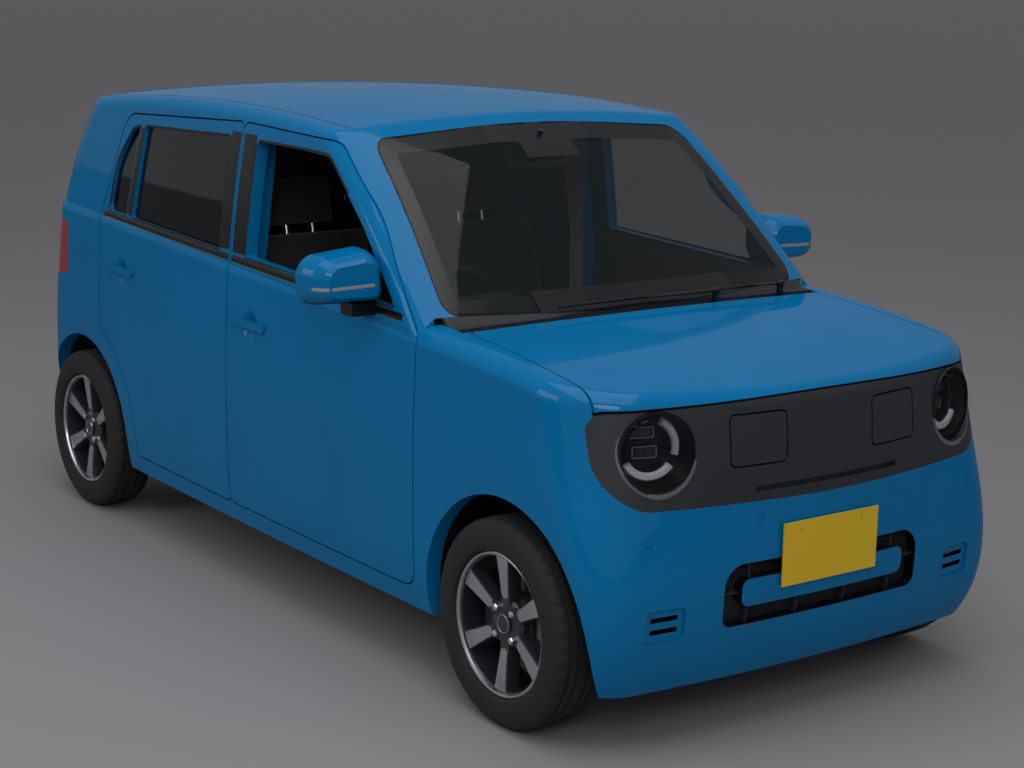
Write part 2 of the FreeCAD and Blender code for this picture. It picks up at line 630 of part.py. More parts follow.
piece("windscreen", biggest(walled(cab(0, 0).common(screen_hole), cab(size("glass_wall"), 0))))
cowl = skin.common(box(-640, 640, -955, cabin_front, 945, hood_z)).cut(
    [screen_hole, box(-700, 700, -1000, -928, 964, 1010), box(-700, 700, -1000, cabin_front, 940, 1010).cut(
        box(-640, 640, -1000, door_front, 940, 1010)).cut(box(-600, 600, -1000, cabin_front, 940, 1010))])
wiper_pivots = [(250, -560), (500, -225)]  # x, reach
cowl = biggest(cowl.cut([rod(10.05, (x, -940, 930), (x, -940, 1100)) for x, reach in wiper_pivots]))
for s in (1, -1):
    cowl = cowl.fuse([rod(pin_r, (s * 280, -952, 976), (s * 320, -952, 976)),
                      box(*sorted((s * 304, s * 320)), -954, -950, 960, 976)])
piece("cowl_cover", cowl)

# Doors, with their glass set a little in from the outside.
handles = {"front": (39.0, 847.0), "rear": (945.0, 885.0)}  # y, z
glass_low, glass_high = cab(13, 0), cab(13 + size("glass_wall"), 0)
for row in ("front", "rear"):
    openings = [prism(w, "x", 500, far) for w in door_windows[row]]
    door = biggest(walled(skin.common(door_solids[row]).cut(openings), *cabin))
    y, z = handles[row]
    at_skin = side - 11 - y ** 2 / 120000
    dish = Part.makeSphere(84, V(at_skin - 12 + 84, y, z))
    grip_bar = prism([(y - 92, z - 12, 10), (y + 92, z - 12, 10), (y + 92, z + 12, 10), (y - 92, z + 12, 10)], "x",
                     at_skin + 2, at_skin + 10.4)
    feet = [box(at_skin - 30, at_skin + 8, y + e - 11, y + e + 11, z - 10, z + 10) for e in (-79, 79)]
    door = biggest(door.cut(dish).multiFuse([grip_bar] + feet))
    panes = Part.makeCompound([biggest(walled(glass_low.common(o), glass_high)) for o in openings])
    for s, name in ((1, "left"), (-1, "right")):
        piece("door_%s_%s" % (row, name), door if s > 0 else mirrored(door))
        if row == "rear" or s > 0:
            piece("window_%s_%s" % (row, name), panes if s > 0 else mirrored(panes))
mirror_mid = (794, 1086)
mirror = Part.makeLoft([outline([(mirror_mid[0] + a * f, mirror_mid[1] + b * f, r * f) for a, b, r in (
    (-122, -77, 30), (122, -68, 45), (128, 60, 60), (-104, 82, 60))], lambda a, b, y=y: V(a, y, b))
    for y, f in ((-676, 0.62), (-664, 0.74), (-636, 0.89), (-600, 0.98), (-572, 1.0))], True, True)
foot = box(640, 790, -650, -590, 985, 1020).cut(skin)
mirror = mirror.cut(skin).fuse(foot)
mirror = max(mirror.Solids, key=lambda s: s.Volume)
piece("mirror_left", mirror)
piece("mirror_right", mirrored(mirror))

recess = prism([(-200, 690, 20), (200, 690, 20), (200, 880, 20), (-200, 880, 20)], "y", 1664, 1800)
tailgate = skin.common(prism(grown(tail, -gap), "y", tail_y + gap, 1800)).cut(
    [prism(tail_window, "y", 1300, 1800), recess])
piece("tailgate", biggest(walled(tailgate, *cabin)))
tail_glass = cab(1, 0).common(prism(tail_window, "y", 1300, 1800))
piece("tailgate_window", biggest(walled(tail_glass, cab(1 + size("glass_wall"), 0))))
piece("rear_bumper", biggest(walled(skin.common(bumper_back).cut(arches), inner45)))
lamp = biggest(walled(skin.common(prism(lamp_rear, "y", 1400, 1800)), loft(LOWER, 60)))
piece("tail_lamps", Part.makeCompound([lamp, mirrored(lamp)]))
rear_low = 702.0
keep("rear_plate", block((cell("plate_width", -0.5), 1664, rear_low),
                         (half_plate, 1664 + plate_wall, cell("plate_height", 1, rear_low)), "rear_plate_box"))

# Floor and front structure.
inner_x = cabin_x - gap
floor = [box(-cabin_x, cabin_x, -830, 860, floor_top - 24, floor_top),
         box(-inner_x, inner_x, 836, 860, floor_top, 454),
         box(-inner_x, inner_x, 836, door_rear + gap, 430, 454),
         box(-cabin_x, cabin_x, door_rear + gap, cabin_rear, 430, 454),
         box(-roof_x, roof_x, 1590, cabin_rear, 330, 590)]
for s in (1, -1):
    house = rod(350, (s * 520, axle_rear, axle_z), (s * cabin_x, axle_rear, axle_z))
    floor.append(house.common(box(-inner_x, inner_x, 836, door_rear + gap, axle_z, 700)))
    floor.append(house.common(box(-far, far, door_rear + gap, 1627, axle_z, 700)))
floor = joined(floor).cut([
    rod(size("arch_radius"), (s * 532, axle_rear, axle_z), (s * far, axle_rear, axle_z)) for s in (1, -1)])
floor = floor.cut([box(*sorted((s * 500, s * 540)), 1195, 1350, axle_z - 1, 345) for s in (1, -1)])
low45 = loft(LOWER, tub_wall)
piece("floor_pan", biggest(floor.common(low45.common(box(-far, far, -900, 1800, 200, 700)))))
nose45 = inner45.common(box(-far, far, -1750, cabin_front + 30, 200, 980))
rails = [box(-inner_x, inner_x, -830, cabin_front, floor_top, 945)]
for s in (1, -1):
    rails.append(box(*sorted((s * 600, s * inner_x)), door_front, cabin_front, floor_top, 945))
    rails.append(box(*sorted((s * 600, s * 720)), -900, door_front, floor_top, 840).common(nose45))
    rails.append(box(*sorted((s * 380, s * 396)), -1440, -830, 330, 850))
    rails.append(box(*sorted((s * 380, s * 396)), -1585, -1440, 330, 665))
    rails.append(box(*sorted((s * 330, s * 396)), -1600, -830, 330, 400))
    rails.append(box(*sorted((s * 380, s * 720)), -1430, door_front, 836, 850).common(nose45))
    rails.append(box(*sorted((s * 490, s * 604)), -1305, -1185, 745, 840))
    rails += [box(*sorted((s * 650, s * (cabin_x - 0.3))), -848, -822, z, z + 45) for z in (440, 700)]
rails.append(box(-620, 620, -1720, -1585, 500, 610).common(nose45).cut(box(-110, 110, -1800, -1610, 480, 620)))
rails.append(box(-400, 400, -1600, -1572, 500, 700))
front_body = joined(rails)
king_low, king_high = V(598, axle_front, 186), V(545, axle_front + 8, 800)
king = (king_high - king_low)
king.normalize()
for s in (1, -1):
    top = king_low + king * ((735 - 186) / king.z)
    hole = rod(10.08, top - king * 5, top + king * 140)
    front_body = front_body.cut(hole if s > 0 else mirrored(hole))
piece("front_structure", front_body)
keep("battery_pack", block((-470, -620, cell("ground_clearance")), (470, 760, cell("floor_top", 1, -24)),
                           "battery_block"))
power = fused("power_blocks", [block((-300, -1480, 420), (300, -1010, 700)), block((-240, -1440, 700), (240, -1080, 800)),
                               block((-380, -1290, 400), (380, -1210, 430))])
keep("power_unit", power)

# Suspension, knuckles and wheels.
arm = doc.addObject("PartDesign::Body", "lower_arm")
padded(arm, "XY_Plane", "arm", [(300, -1340), (300, -1150), (560, -1229), (606, -1229), (616, -1237), (616, -1258),
                               (606, -1266), (560, -1266)], 166, 200)
frame_half = [arm, block((300, -1330, 250), (380, -1150, 330)),
              bar(9, tuple(king_low - king * 12), tuple(king_low + king * 34), "ball_pin")]
half = fused("subframe_half", frame_half)
keep("front_subframe", fused("subframe_whole", [block((-330, -1330, 200), (330, -1150, 262)), half,
                                                other_side("subframe_half_right", half)]))

king_top = king_low + king * ((735 - 186) / king.z)
centre_z = cell("tyre_radius")
caliper = cut("caliper", block((600, axle_front + 88, 236), (664, axle_front + 134, 330), "caliper_block"),
              bar(126, (616, axle_front, centre_z), (646, axle_front, axle_z), "disc_slot"))
carrier = fused("knuckle_solid", [
    bar(52, (560, axle_front, centre_z), (616, axle_front, axle_z), "hub_carrier"),
    bar(19, tuple(king_low + king * 17), tuple(king_low + king * 60), "ball_boss"),
    block((520, axle_front - 30, 290), (590, axle_front + 30, 420), "upright"),
    bar(24, (532, axle_front, 330), (541, axle_front + 5, 650), "damper"),
    bar(52, (538, axle_front + 4, 590), (541, axle_front + 5, 725), "spring"),
    bar(10, tuple(king_top - king * 40), tuple(king_top + king * 70), "damper_rod"),
    block((570, axle_front + 30, 236), (600, axle_front + 130, 262), "steering_arm"), caliper])
knuckle = cut("knuckle_cut", carrier, fused("knuckle_bores", [
    bar(26.08, (500, axle_front, centre_z), (700, axle_front, axle_z), "axle_bore"),
    bar(9.08, tuple(king_low - king * 30), tuple(king_low + king * 34.5), "pin_bore")]))
keep("knuckle_left", knuckle)
keep("knuckle_right", other_side("knuckle_image", knuckle))

trailing = fused("axle_half_solid", [
    block((440, 870, 250), (500, 1300, 310), "trailing_arm"), block((440, 870, 250), (500, 920, 430), "arm_mount"),
    bar(50, (490, axle_rear, centre_z), (606, axle_rear, axle_z), "hub_carrier_rear"),
    bar(48, (430, 1180, 290), (430, 1180, 430), "spring_rear"),
    bar(22, (490, 1330, 280), (490, 1330, 430), "damper_rear"),
    block((460, 1272, 250), (510, 1345, 300), "damper_foot")])
half = cut("axle_half", trailing, bar(26.08, (480, axle_rear, centre_z), (700, axle_rear, axle_z), "bore_rear"))
keep("rear_axle", fused("axle_whole", [block((-441, 1090, 240), (441, 1160, 300), "axle_beam"), half,
                                       other_side("axle_half_right", half)]))

rim_r, rim_half = cell("rim_radius"), cell("rim_width", 0.5)
rim_outline = [(cell("rim_radius", 1, -22), cell("rim_width", -0.5, 3)), (rim_r, cell("rim_width", -0.5)),
               (rim_r, cell("rim_width", -0.5, 9)), (cell("rim_radius", 1, -12), cell("rim_width", -0.5, 9)),
               (cell("rim_radius", 1, -12), cell("rim_width", 0.5, -9)), (rim_r, cell("rim_width", 0.5, -9)),
               (rim_r, cell("rim_width", 0.5, -3)), (cell("rim_radius", 1, -3), rim_half),
               (cell("rim_radius", 1, -15), cell("rim_width", 0.5, -2)),
               (cell("rim_radius", 1, -22), cell("rim_width", 0.5, -30))]
hub_outline = [(0, 12), (68, 12), (68, 34), (62, 40), (34, 42), (30, 48), (0, 48)]
disc_outline = [(0, -90), (26, -90), (26, -28), (120, -28), (120, -12), (75, -12), (75, 14), (0, 14)]
spoke_outline = [(50, -27), (cell("rim_radius", 1, -14), -23), (cell("rim_radius", 1, -14), 23), (50, 27)]
face_outline = [(64, -9), (72, -17), (cell("rim_radius", 1, -7), -20), (cell("rim_radius", 1, -7), 20), (72, 17), (64, 9)]
nut_mid, nut_r, nut_high = size("nut_circle") / 2, 10.5, 56.0
nut_outline = [(cell("nut_circle", 0.5, nut_r * math.cos(math.radians(60 * k))), nut_r * math.sin(math.radians(60 * k)))
               for k in range(6)]
tyre_outline = [(rim_r, cell("tyre_width", -0.5)), (cell("tyre_radius", 1, -8), cell("tyre_width", -0.5)),
                (cell("tyre_radius"), cell("tyre_width", -0.5, 8.5)), (cell("tyre_radius"), cell("tyre_width", 0.5, -8.5)),
                (cell("tyre_radius", 1, -8), cell("tyre_width", 0.5)), (rim_r, cell("tyre_width", 0.5))]
for row, y in (("front", axle_front), ("rear", axle_rear)):
    for s, name in ((1, "left"), (-1, "right")):
        tyre = doc.addObject("PartDesign::Body", "tyre_body")
        revolved(tyre, "section", tyre_outline)
        keep("tyre_%s_%s" % (row, name), place(tyre, (cell("track", 0.5 * s), y, centre_z), (s, 0, 0)))
        wheel = doc.addObject("PartDesign::Body", "wheel_body")
        revolved(wheel, "rim", rim_outline)
        wheel.AllowCompound = True
        polar(wheel, "spokes", padded(wheel, "XY_Plane", "spoke", spoke_outline, 22, 47), cell("spoke_count"))
        polar(wheel, "faces", padded(wheel, "XY_Plane", "face", face_outline, 40, 51), cell("spoke_count"))
        revolved(wheel, "hub", hub_outline)
        revolved(wheel, "disc", disc_outline)
        polar(wheel, "nuts", padded(wheel, "XY_Plane", "nut", nut_outline, 38, nut_high), cell("nut_count"))
        keep("wheel_%s_%s" % (row, name), place(wheel, (cell("track", 0.5 * s), y, centre_z), (s, 0, 0)))

# Cabin.
half_cabin = total(cell("overall_width", 0.5, -7), cell("wall", -1))
wheel_mid, column_way = V(size("column_x"), -395, 905), V(0, 0.90, 0.436)
column_way.normalize()


def on_column(along):
    point = wheel_mid + column_way * along
    return (cell("column_x"), point.y, point.z)


dash = doc.addObject("PartDesign::Body", "dash_body")
padded(dash, "YZ_Plane", "dash", [(cabin_front, 700), (-560, 700), (-520, 800), (-535, 905), (-575, 946), (-640, 966),
                                  (cabin_front, 985)], total(6, cell("overall_width", -0.5, 7), cell("wall")),
       less(half_cabin, 6))
padded(dash, "YZ_Plane", "binnacle", [(-640, 950), (-535, 890), (-528, 968), (-560, 992), (-640, 985)],
       -455, -215)
column = fused("dash_solid", [dash, bar(38, on_column(-260), on_column(-62), "column_tube")])
keep("dashboard", cut("dash_cut", column, bar(12.08, on_column(-115), on_column(0), "shaft_bore")))

steer = doc.addObject("PartDesign::Body", "steering_body")
grip = 14.0
revolved(steer, "ring", [(cell("steering_radius", 1, grip * (math.cos(math.radians(a)) - 1)),
                          grip * math.sin(math.radians(a))) for a in range(-150, 181, 60)])
steer.AllowCompound = True
padded(steer, "XY_Plane", "arms", [(-170, -20), (-22, -22), (-16, -165), (16, -165), (22, -22), (170, -20), (170, 12),
                                   (-170, 12)], -24, -8)
revolved(steer, "boss", [(0, -110), (12, -110), (12, -44), (50, -40), (56, -14), (44, -6), (0, -4)])
keep("steering_wheel", place(steer, on_column(0), tuple(column_way)))

seat_x = 335.0
seat = doc.addObject("PartDesign::Body", "seat_body")
padded(seat, "YZ_Plane", "cushion", [(-250, cell("floor_top", 1, 185)), (-215, cell("floor_top", 1, 158)),
                                     (260, cell("floor_top", 1, 158)), (260, cell("floor_top", 1, 290)),
                                     (190, cell("floor_top", 1, 306)), (-200, cell("floor_top", 1, 338)),
                                     (-245, cell("floor_top", 1, 318))], seat_x - 240, seat_x + 240)
padded(seat, "YZ_Plane", "base", [(-180, cell("floor_top")), (220, cell("floor_top")), (220, cell("floor_top", 1, 170)),
                                  (-180, cell("floor_top", 1, 170))], seat_x - 190, seat_x + 190)
padded(seat, "YZ_Plane", "back", [(200, 548), (300, 520), (345, 560), (462, 1020), (452, 1052), (400, 1064), (362, 1040),
                                  (262, 700)], seat_x - 232, seat_x + 232)
padded(seat, "YZ_Plane", "headrest", [(400, 1050), (452, 1050), (478, 1180), (468, 1224), (430, 1236), (408, 1210)],
       seat_x - 118, seat_x + 118)
keep("front_seats", pair("seat_pair", seat))

bench = doc.addObject("PartDesign::Body", "bench_body")
padded(bench, "YZ_Plane", "bench_cushion", [(712, 454), (1130, 454), (1130, 590), (1090, 596), (745, 622), (704, 600)],
       -600, 600)
padded(bench, "YZ_Plane", "bench_base", [(720, cell("floor_top")), (836, cell("floor_top")), (836, 460), (720, 460)],
       -560, 560)
padded(bench, "YZ_Plane", "bench_back", [(1060, 590), (1165, 590), (1256, 1018), (1246, 1040), (1196, 1050), (1176, 1030)],
       -500, 500)
for s, name in ((1, "left"), (-1, "right")):
    low, high = sorted((s * 155, s * 385))
    padded(bench, "YZ_Plane", "headrest_" + name, [(1200, 1036), (1240, 1036), (1262, 1172), (1240, 1196), (1214, 1180)],
           low, high)
wheelhouses = [bar(356, (s * 514, axle_rear, centre_z), (s * 700, axle_rear, axle_z), "wheelhouse") for s in (1, -1)]
keep("rear_seat", cut("bench_cut", bench, fused("wheelhouse_pair", wheelhouses)))

mirror_in = joined([box(-120, 120, -420, -396, 1325, 1392), box(-22, 22, -460, -396, 1380, 1420),
                    box(-70, 70, -520, -380, 1395, 1450)]).common(cab(size("glass_wall"), 0))
piece("inner_mirror", max(mirror_in.Solids, key=lambda s: s.Volume))
arms = []
for x, reach in wiper_pivots:
    arms.append(fused("wiper", [bar(10, (x, -940, 958), (x, -940, 1026), "wiper_pivot"),
                                bar(6, (x, -940, 1012), (x + reach, -940, 1012), "wiper_arm")]))
wipers = doc.addObject("Part::Compound", "wiper_set")
wipers.Links = arms
keep("wipers", wipers)

doc.recompute()
for item in doc.Objects:
    state = [str(s) for s in item.State]
    if "Invalid" in state or "Error" in state:
        raise RuntimeError(item.Label + " did not compute")
os.makedirs("parts", exist_ok=True)
for item in pieces:
    if item.Shape.isNull() or not item.Shape.isValid():
        raise RuntimeError(item.Label + " is not a valid shape")
for item in pieces:
    item.Shape.exportStep("parts/%s.step" % item.Label)
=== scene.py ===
"""Looks of a small five-door electric car: paint, lamps, glass, trim, tyres and cabin round the CAD frame."""
import json
import math

import bmesh
import bpy
import numpy as np
from mathutils import Matrix, Vector
from mathutils.bvhtree import BVHTree

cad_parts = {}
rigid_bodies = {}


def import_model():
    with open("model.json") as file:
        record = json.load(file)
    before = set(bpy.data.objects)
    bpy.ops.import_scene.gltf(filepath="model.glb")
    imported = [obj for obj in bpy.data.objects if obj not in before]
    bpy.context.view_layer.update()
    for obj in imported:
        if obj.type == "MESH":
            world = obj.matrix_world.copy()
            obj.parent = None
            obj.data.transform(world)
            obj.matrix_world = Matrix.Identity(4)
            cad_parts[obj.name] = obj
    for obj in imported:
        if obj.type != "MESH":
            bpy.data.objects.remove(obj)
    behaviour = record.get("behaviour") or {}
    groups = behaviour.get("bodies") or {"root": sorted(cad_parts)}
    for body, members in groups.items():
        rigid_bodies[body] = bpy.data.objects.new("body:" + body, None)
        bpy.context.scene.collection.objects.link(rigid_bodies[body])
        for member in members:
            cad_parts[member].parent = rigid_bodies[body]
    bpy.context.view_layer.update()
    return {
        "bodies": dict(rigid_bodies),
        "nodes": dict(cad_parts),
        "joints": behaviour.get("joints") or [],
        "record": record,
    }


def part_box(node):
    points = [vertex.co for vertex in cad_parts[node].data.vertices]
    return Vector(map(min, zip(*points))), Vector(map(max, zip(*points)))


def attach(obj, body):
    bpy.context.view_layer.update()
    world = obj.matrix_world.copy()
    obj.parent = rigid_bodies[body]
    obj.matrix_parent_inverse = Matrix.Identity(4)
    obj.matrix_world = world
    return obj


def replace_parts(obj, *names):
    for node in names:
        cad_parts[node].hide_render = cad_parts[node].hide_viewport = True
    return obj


MM = 0.001
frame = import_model()
nodes = frame["nodes"]
SIDES = (("left", 1), ("right", -1))

# Places taken from the CAD frame, in millimetres.


def span(node):
    """Both corners of a CAD node's box."""
    low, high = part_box(node)
    return low / MM, high / MM


tyre_low, tyre_high = span("tyre_front_left")
rear_low, rear_high = span("tyre_rear_left")
TYRE_R = (tyre_high.z - tyre_low.z) / 2
AXLE_Z = (tyre_high.z + tyre_low.z) / 2
AXLE_Y = {"front": (tyre_high.y + tyre_low.y) / 2, "rear": (rear_high.y + rear_low.y) / 2}
WHEEL_X = (tyre_high.x + tyre_low.x) / 2
TYRE_W = tyre_high.x - tyre_low.x


# Small helpers.

def linear(hexa):
    """sRGB hex to the linear colour that a shader takes."""
    parts = [int(hexa[i:i + 2], 16) / 255 for i in (1, 3, 5)]
    return tuple(c / 12.92 if c <= 0.04045 else ((c + 0.055) / 1.055) ** 2.4 for c in parts) + (1.0,)


def add(tree, kind, settings=None, **links):
    """Adds a node; settings are its properties, links its sockets' values or the sockets that feed them."""
    node = tree.nodes.new(kind)
    for key, value in (settings or {}).items():
        setattr(node, key, value)
    for key, value in links.items():
        socket = node.inputs[int(key[1:])] if key[0] == "i" and key[1:].isdigit() else node.inputs[
            key.replace("_", " ")]
        if isinstance(value, bpy.types.NodeSocket):
            tree.links.new(value, socket)
        else:
            socket.default_value = value
    return node


def finish(name, colour, rough=0.5, metal=0.0, coat=0.0, coat_rough=0.03, ior=1.5, alpha=1.0,
           sheen=0.0, level=0.5):
    """A material with one principled shader; its tree and shader are returned with it."""
    material = bpy.data.materials.new(name)
    material.use_nodes = True
    tree = material.node_tree
    shader = tree.nodes["Principled BSDF"]
    for socket, value in (("Base Color", linear(colour)), ("Roughness", rough), ("Metallic", metal),
                          ("Coat Weight", coat), ("Coat Roughness", coat_rough), ("IOR", ior),
                          ("Alpha", alpha), ("Sheen Weight", sheen), ("Specular IOR Level", level)):
        shader.inputs[socket].default_value = value
    return material, tree, shader


def grained_parts(material, tree, shader, pitch, height):
    """Bump on object coordinates; pitch and height in millimetres."""
    place = add(tree, "ShaderNodeTexCoord")
    noise = add(tree, "ShaderNodeTexNoise", Vector=place.outputs["Object"], Scale=1 / (pitch * MM),
                Detail=2.0)
    bump = add(tree, "ShaderNodeBump", Height=noise.outputs["Fac"], Distance=height * MM, Strength=0.6)
    tree.links.new(bump.outputs["Normal"], shader.inputs["Normal"])
    return material, tree, shader


def grained(*parts, **sizes):
    """A finished material with a moulded or cast grain."""
    return grained_parts(*parts, **sizes)[0]


def mottled(material, tree, shader, pitch, share):
    """Colour that drifts by a share either way over patches of the pitch, in millimetres."""
    base = tuple(shader.inputs["Base Color"].default_value)
    place = add(tree, "ShaderNodeTexCoord")
    noise = add(tree, "ShaderNodeTexNoise", Vector=place.outputs["Object"], Scale=1 / (pitch * MM),
                Detail=3.0)
    ramp = add(tree, "ShaderNodeValToRGB", Fac=noise.outputs["Fac"])
    for stop, factor in zip(ramp.color_ramp.elements, (1 - share, 1 + share)):
        stop.color = tuple(c * factor for c in base[:3]) + (1.0,)
    ramp.color_ramp.elements[0].position, ramp.color_ramp.elements[1].position = 0.3, 0.7
    tree.links.new(ramp.outputs["Color"], shader.inputs["Base Color"])
    return material


def woven(name, dark, light, pitch):
    """Cloth of crossing threads, pitch in millimetres."""
    material, tree, shader = finish(name, dark, rough=0.92, sheen=0.25)
    place = add(tree, "ShaderNodeTexCoord")
    waves = [add(tree, "ShaderNodeTexWave", {"bands_direction": axis}, Vector=place.outputs["Object"],
                 Scale=0.32 / (pitch * MM), Distortion=0.6).outputs["Fac"] for axis in ("X", "Z")]
    crossing = add(tree, "ShaderNodeMath", {"operation": "MULTIPLY"}, i0=waves[0], i1=waves[1]).outputs[0]
    ramp = add(tree, "ShaderNodeValToRGB", Fac=crossing)
    for stop, shade in zip(ramp.color_ramp.elements, (dark, light)):
        stop.color = linear(shade)
    tree.links.new(ramp.outputs["Color"], shader.inputs["Base Color"])
    bump = add(tree, "ShaderNodeBump", Height=crossing, Distance=0.5 * MM, Strength=0.7)
    tree.links.new(bump.outputs["Normal"], shader.inputs["Normal"])
    return material


# Body panels: azure enamel under a clear coat, sprayed and polished; it mirrors lamps sharply.
PAINT = mottled(*finish("azure_enamel_clear_coat", "#0070a8", rough=0.5, coat=0.45, coat_rough=0.04,
                        level=0.0), pitch=260, share=0.04)
# The same enamel painted darker as shade inside a seam, where less light comes.
PAINT_SEAM_SHADE = finish("azure_enamel_painted_seam_shade", "#0a4f7d", rough=0.5)[0]
# Nose panel and cowl: moulded polypropylene with a fine spark-eroded grain; it stays dull.
GRAINED = grained(*finish("grained_polypropylene", "#24262b", rough=0.6), pitch=1.6, height=0.5)
# The step round each lamp: the same plastic, painted lighter as a highlight where the smooth step catches
# light.
BEZEL_HIGHLIGHT = finish("lamp_step_painted_highlight", "#5f6167", rough=0.42)[0]
# Smooth moulded ABS, for mirror feet, sash covers and mouldings.
BLACK = finish("smooth_black_abs", "#0c0d0f", rough=0.24)[0]
# Lower grille net: moulded nylon, dull.
MESH = finish("moulded_nylon_net", "#191a1c", rough=0.6)[0]
# Chassis parts: black dip-coated steel, half dull.
CHASSIS = finish("dipped_steel", "#1a1b1d", rough=0.55, metal=0.2)[0]
# Cast iron knuckles: rough, dark grey.
IRON = grained(*finish("cast_iron", "#3b3c3e", rough=0.6, metal=0.7), pitch=3.0, height=0.4)
# Cast aluminium housings of battery and drive.
CAST = grained(*finish("cast_aluminium", "#8b8e92", rough=0.5, metal=0.9), pitch=2.5, height=0.3)
# Diamond-turned alloy: bright, faint turning sheen.
ALLOY = finish("turned_alloy", "#c4c7cc", rough=0.26, metal=1.0)[0]
# Painted pockets of the alloy wheels: dark grey enamel.
POCKET = finish("dark_wheel_enamel", "#27292e", rough=0.35, metal=0.2, coat=0.5)[0]
# Ground iron of the brake discs, with a film of rust brown.
DISC = mottled(*finish("ground_brake_iron", "#77736e", rough=0.38, metal=0.85), pitch=40, share=0.12)
# Tyre: carbon-black rubber, dull, a little grey where it flexes.
RUBBER = mottled(*grained_parts(*finish("tyre_rubber", "#1c1c1d", rough=0.8), pitch=4.0, height=0.25),
                 pitch=60, share=0.12)
# Laminated clear glass, tinted a little.
GLASS = finish("laminated_glass", "#16201f", rough=0.02, alpha=0.26)[0]
# Privacy glass: dyed dark all through.
PRIVACY = finish("privacy_glass", "#0c0f11", rough=0.03, alpha=0.9)[0]
# Silvered glass of the mirrors.
MIRROR = finish("silvered_glass", "#c9ced3", rough=0.03, metal=1.0)[0]
# Lamp lens: clear hard-coated polycarbonate.
LENS = finish("clear_polycarbonate", "#2a3036", rough=0.02, alpha=0.1)[0]
# Light guides of the headlamps: milky acrylic above, clear ribbed acrylic below.
GUIDE = finish("milky_acrylic", "#a3a6aa", rough=0.3, coat=0.5)[0]
RIBBED = finish("ribbed_clear_acrylic", "#d2d5d9", rough=0.16, coat=0.6)[0]
# Satin outline of lamp units, seals and slats; the same grey, laid under the door mouldings, is a painted
# highlight line.
EDGE_AND_BELT_HIGHLIGHT = finish("satin_grey_edge_and_belt_highlight", "#85888d", rough=0.35, metal=0.5)[0]
# Dark coated optics.
PROJECTOR = finish("coated_dark_optics", "#101318", rough=0.06, coat=1.0)[0]
# Red acrylic of the tail lamps, with clear and amber fields.
RED = finish("red_acrylic", "#a3131b", rough=0.08, coat=0.6)[0]
BRAKE = finish("deep_red_acrylic", "#7c0d14", rough=0.1, coat=0.6)[0]
CLEAR_TAIL = finish("clear_reversing_field", "#c9c6c4", rough=0.12, coat=0.6)[0]
AMBER = finish("amber_field", "#b9581a", rough=0.12, coat=0.6)[0]
INDICATOR = finish("clear_indicator_strip", "#9a938c", rough=0.12, coat=0.6)[0]
# Woven seat cloth, dark.
CLOTH = woven("woven_seat_cloth", "#2b2a29", "#3d3b39", 3.2)
# Roof lining and door cards.
HEADLINER = grained(*finish("felt_headliner", "#a8a49c", rough=0.95, sheen=0.2), pitch=2.0, height=0.3)
DOOR_CARD = grained(*finish("moulded_door_card", "#3a3632", rough=0.7), pitch=1.8, height=0.4)
CARPET = grained(*finish("needled_carpet", "#1d1c1c", rough=0.98, sheen=0.3), pitch=2.5, height=1.0)
# Soft-touch dashboard skin.
DASH = grained(*finish("soft_dash_skin", "#222226", rough=0.75), pitch=1.5, height=0.3)
# Number plate: yellow enamelled sheet; its pressed edge is the same enamel, painted a little lighter as a
# highlight.
PLATE = finish("yellow_plate_enamel", "#e0ba1e", rough=0.45)[0]
PLATE_EDGE_HIGHLIGHT = finish("plate_edge_painted_highlight", "#ecd064", rough=0.42)[0]
CHROME = finish("bright_chrome", "#d8dadd", rough=0.12, metal=1.0)[0]

FINISHES = {
    PAINT: ["body_side_left", "body_side_right", "roof", "front_fenders", "bonnet", "front_bumper",
            "door_front_left", "door_front_right", "door_rear_left", "door_rear_right", "mirror_left",
            "mirror_right", "tailgate", "rear_bumper"],
    GRAINED: ["front_panel", "charge_lid_left", "charge_lid_right", "cowl_cover", "lower_grille"],
    BLACK: ["headlamps", "wipers", "inner_mirror"],
    LENS: ["headlamp_lenses"],
    PLATE: ["front_plate", "rear_plate"],
    GLASS: ["windscreen", "window_front_left"],
    PRIVACY: ["window_rear_left", "window_rear_right", "tailgate_window"],
    RED: ["tail_lamps"],
    CHASSIS: ["floor_pan", "front_structure", "front_subframe", "rear_axle"],
    CAST: ["battery_pack", "power_unit"],
    IRON: ["knuckle_left", "knuckle_right"],
    DASH: ["dashboard", "steering_wheel"],
    CLOTH: ["front_seats", "rear_seat"],
    ALLOY: ["wheel_front_left", "wheel_front_right", "wheel_rear_left", "wheel_rear_right"],
    RUBBER: ["tyre_front_left", "tyre_front_right", "tyre_rear_left", "tyre_rear_right"],
}
for material, names in FINISHES.items():
    for name in names:
        mesh = nodes[name].data
        mesh.materials.clear()
        mesh.materials.append(material)

# Shapes. Every helper works in millimetres.


def frame_at(origin, along, up=(0, 0, 1)):
    """Matrix whose Z runs along a direction and whose Y is as near to up as it can be."""
    z = Vector(along).normalized()
    x = Vector(up).cross(z).normalized()
    y = z.cross(x)
    return Matrix.Translation(Vector(origin)) @ Matrix((x, y, z)).transposed().to_4x4()


def rounded(corners, steps=5):
    """Outline (x, y, radius) as points, its corners turned in short steps."""
    points = []
    n = len(corners)
    for i, (x, y, r) in enumerate(corners):
        here = Vector((x, y))
        before, after = Vector(corners[i - 1][:2]) - here, Vector(corners[(i + 1) % n][:2]) - here
        if r <= 0:
            points.append(here)
            continue
        before.normalize()
        after.normalize()
        half = before.angle(after) / 2
        reach = r / math.tan(half)
        middle = here + (before + after).normalized() * (r / math.sin(half))
        a, b = here + before * reach - middle, here + after * reach - middle
        turn = a.angle_signed(b)
        for k in range(steps + 1):
            points.append(middle + Matrix.Rotation(-turn * k / steps, 2) @ a)
    return points


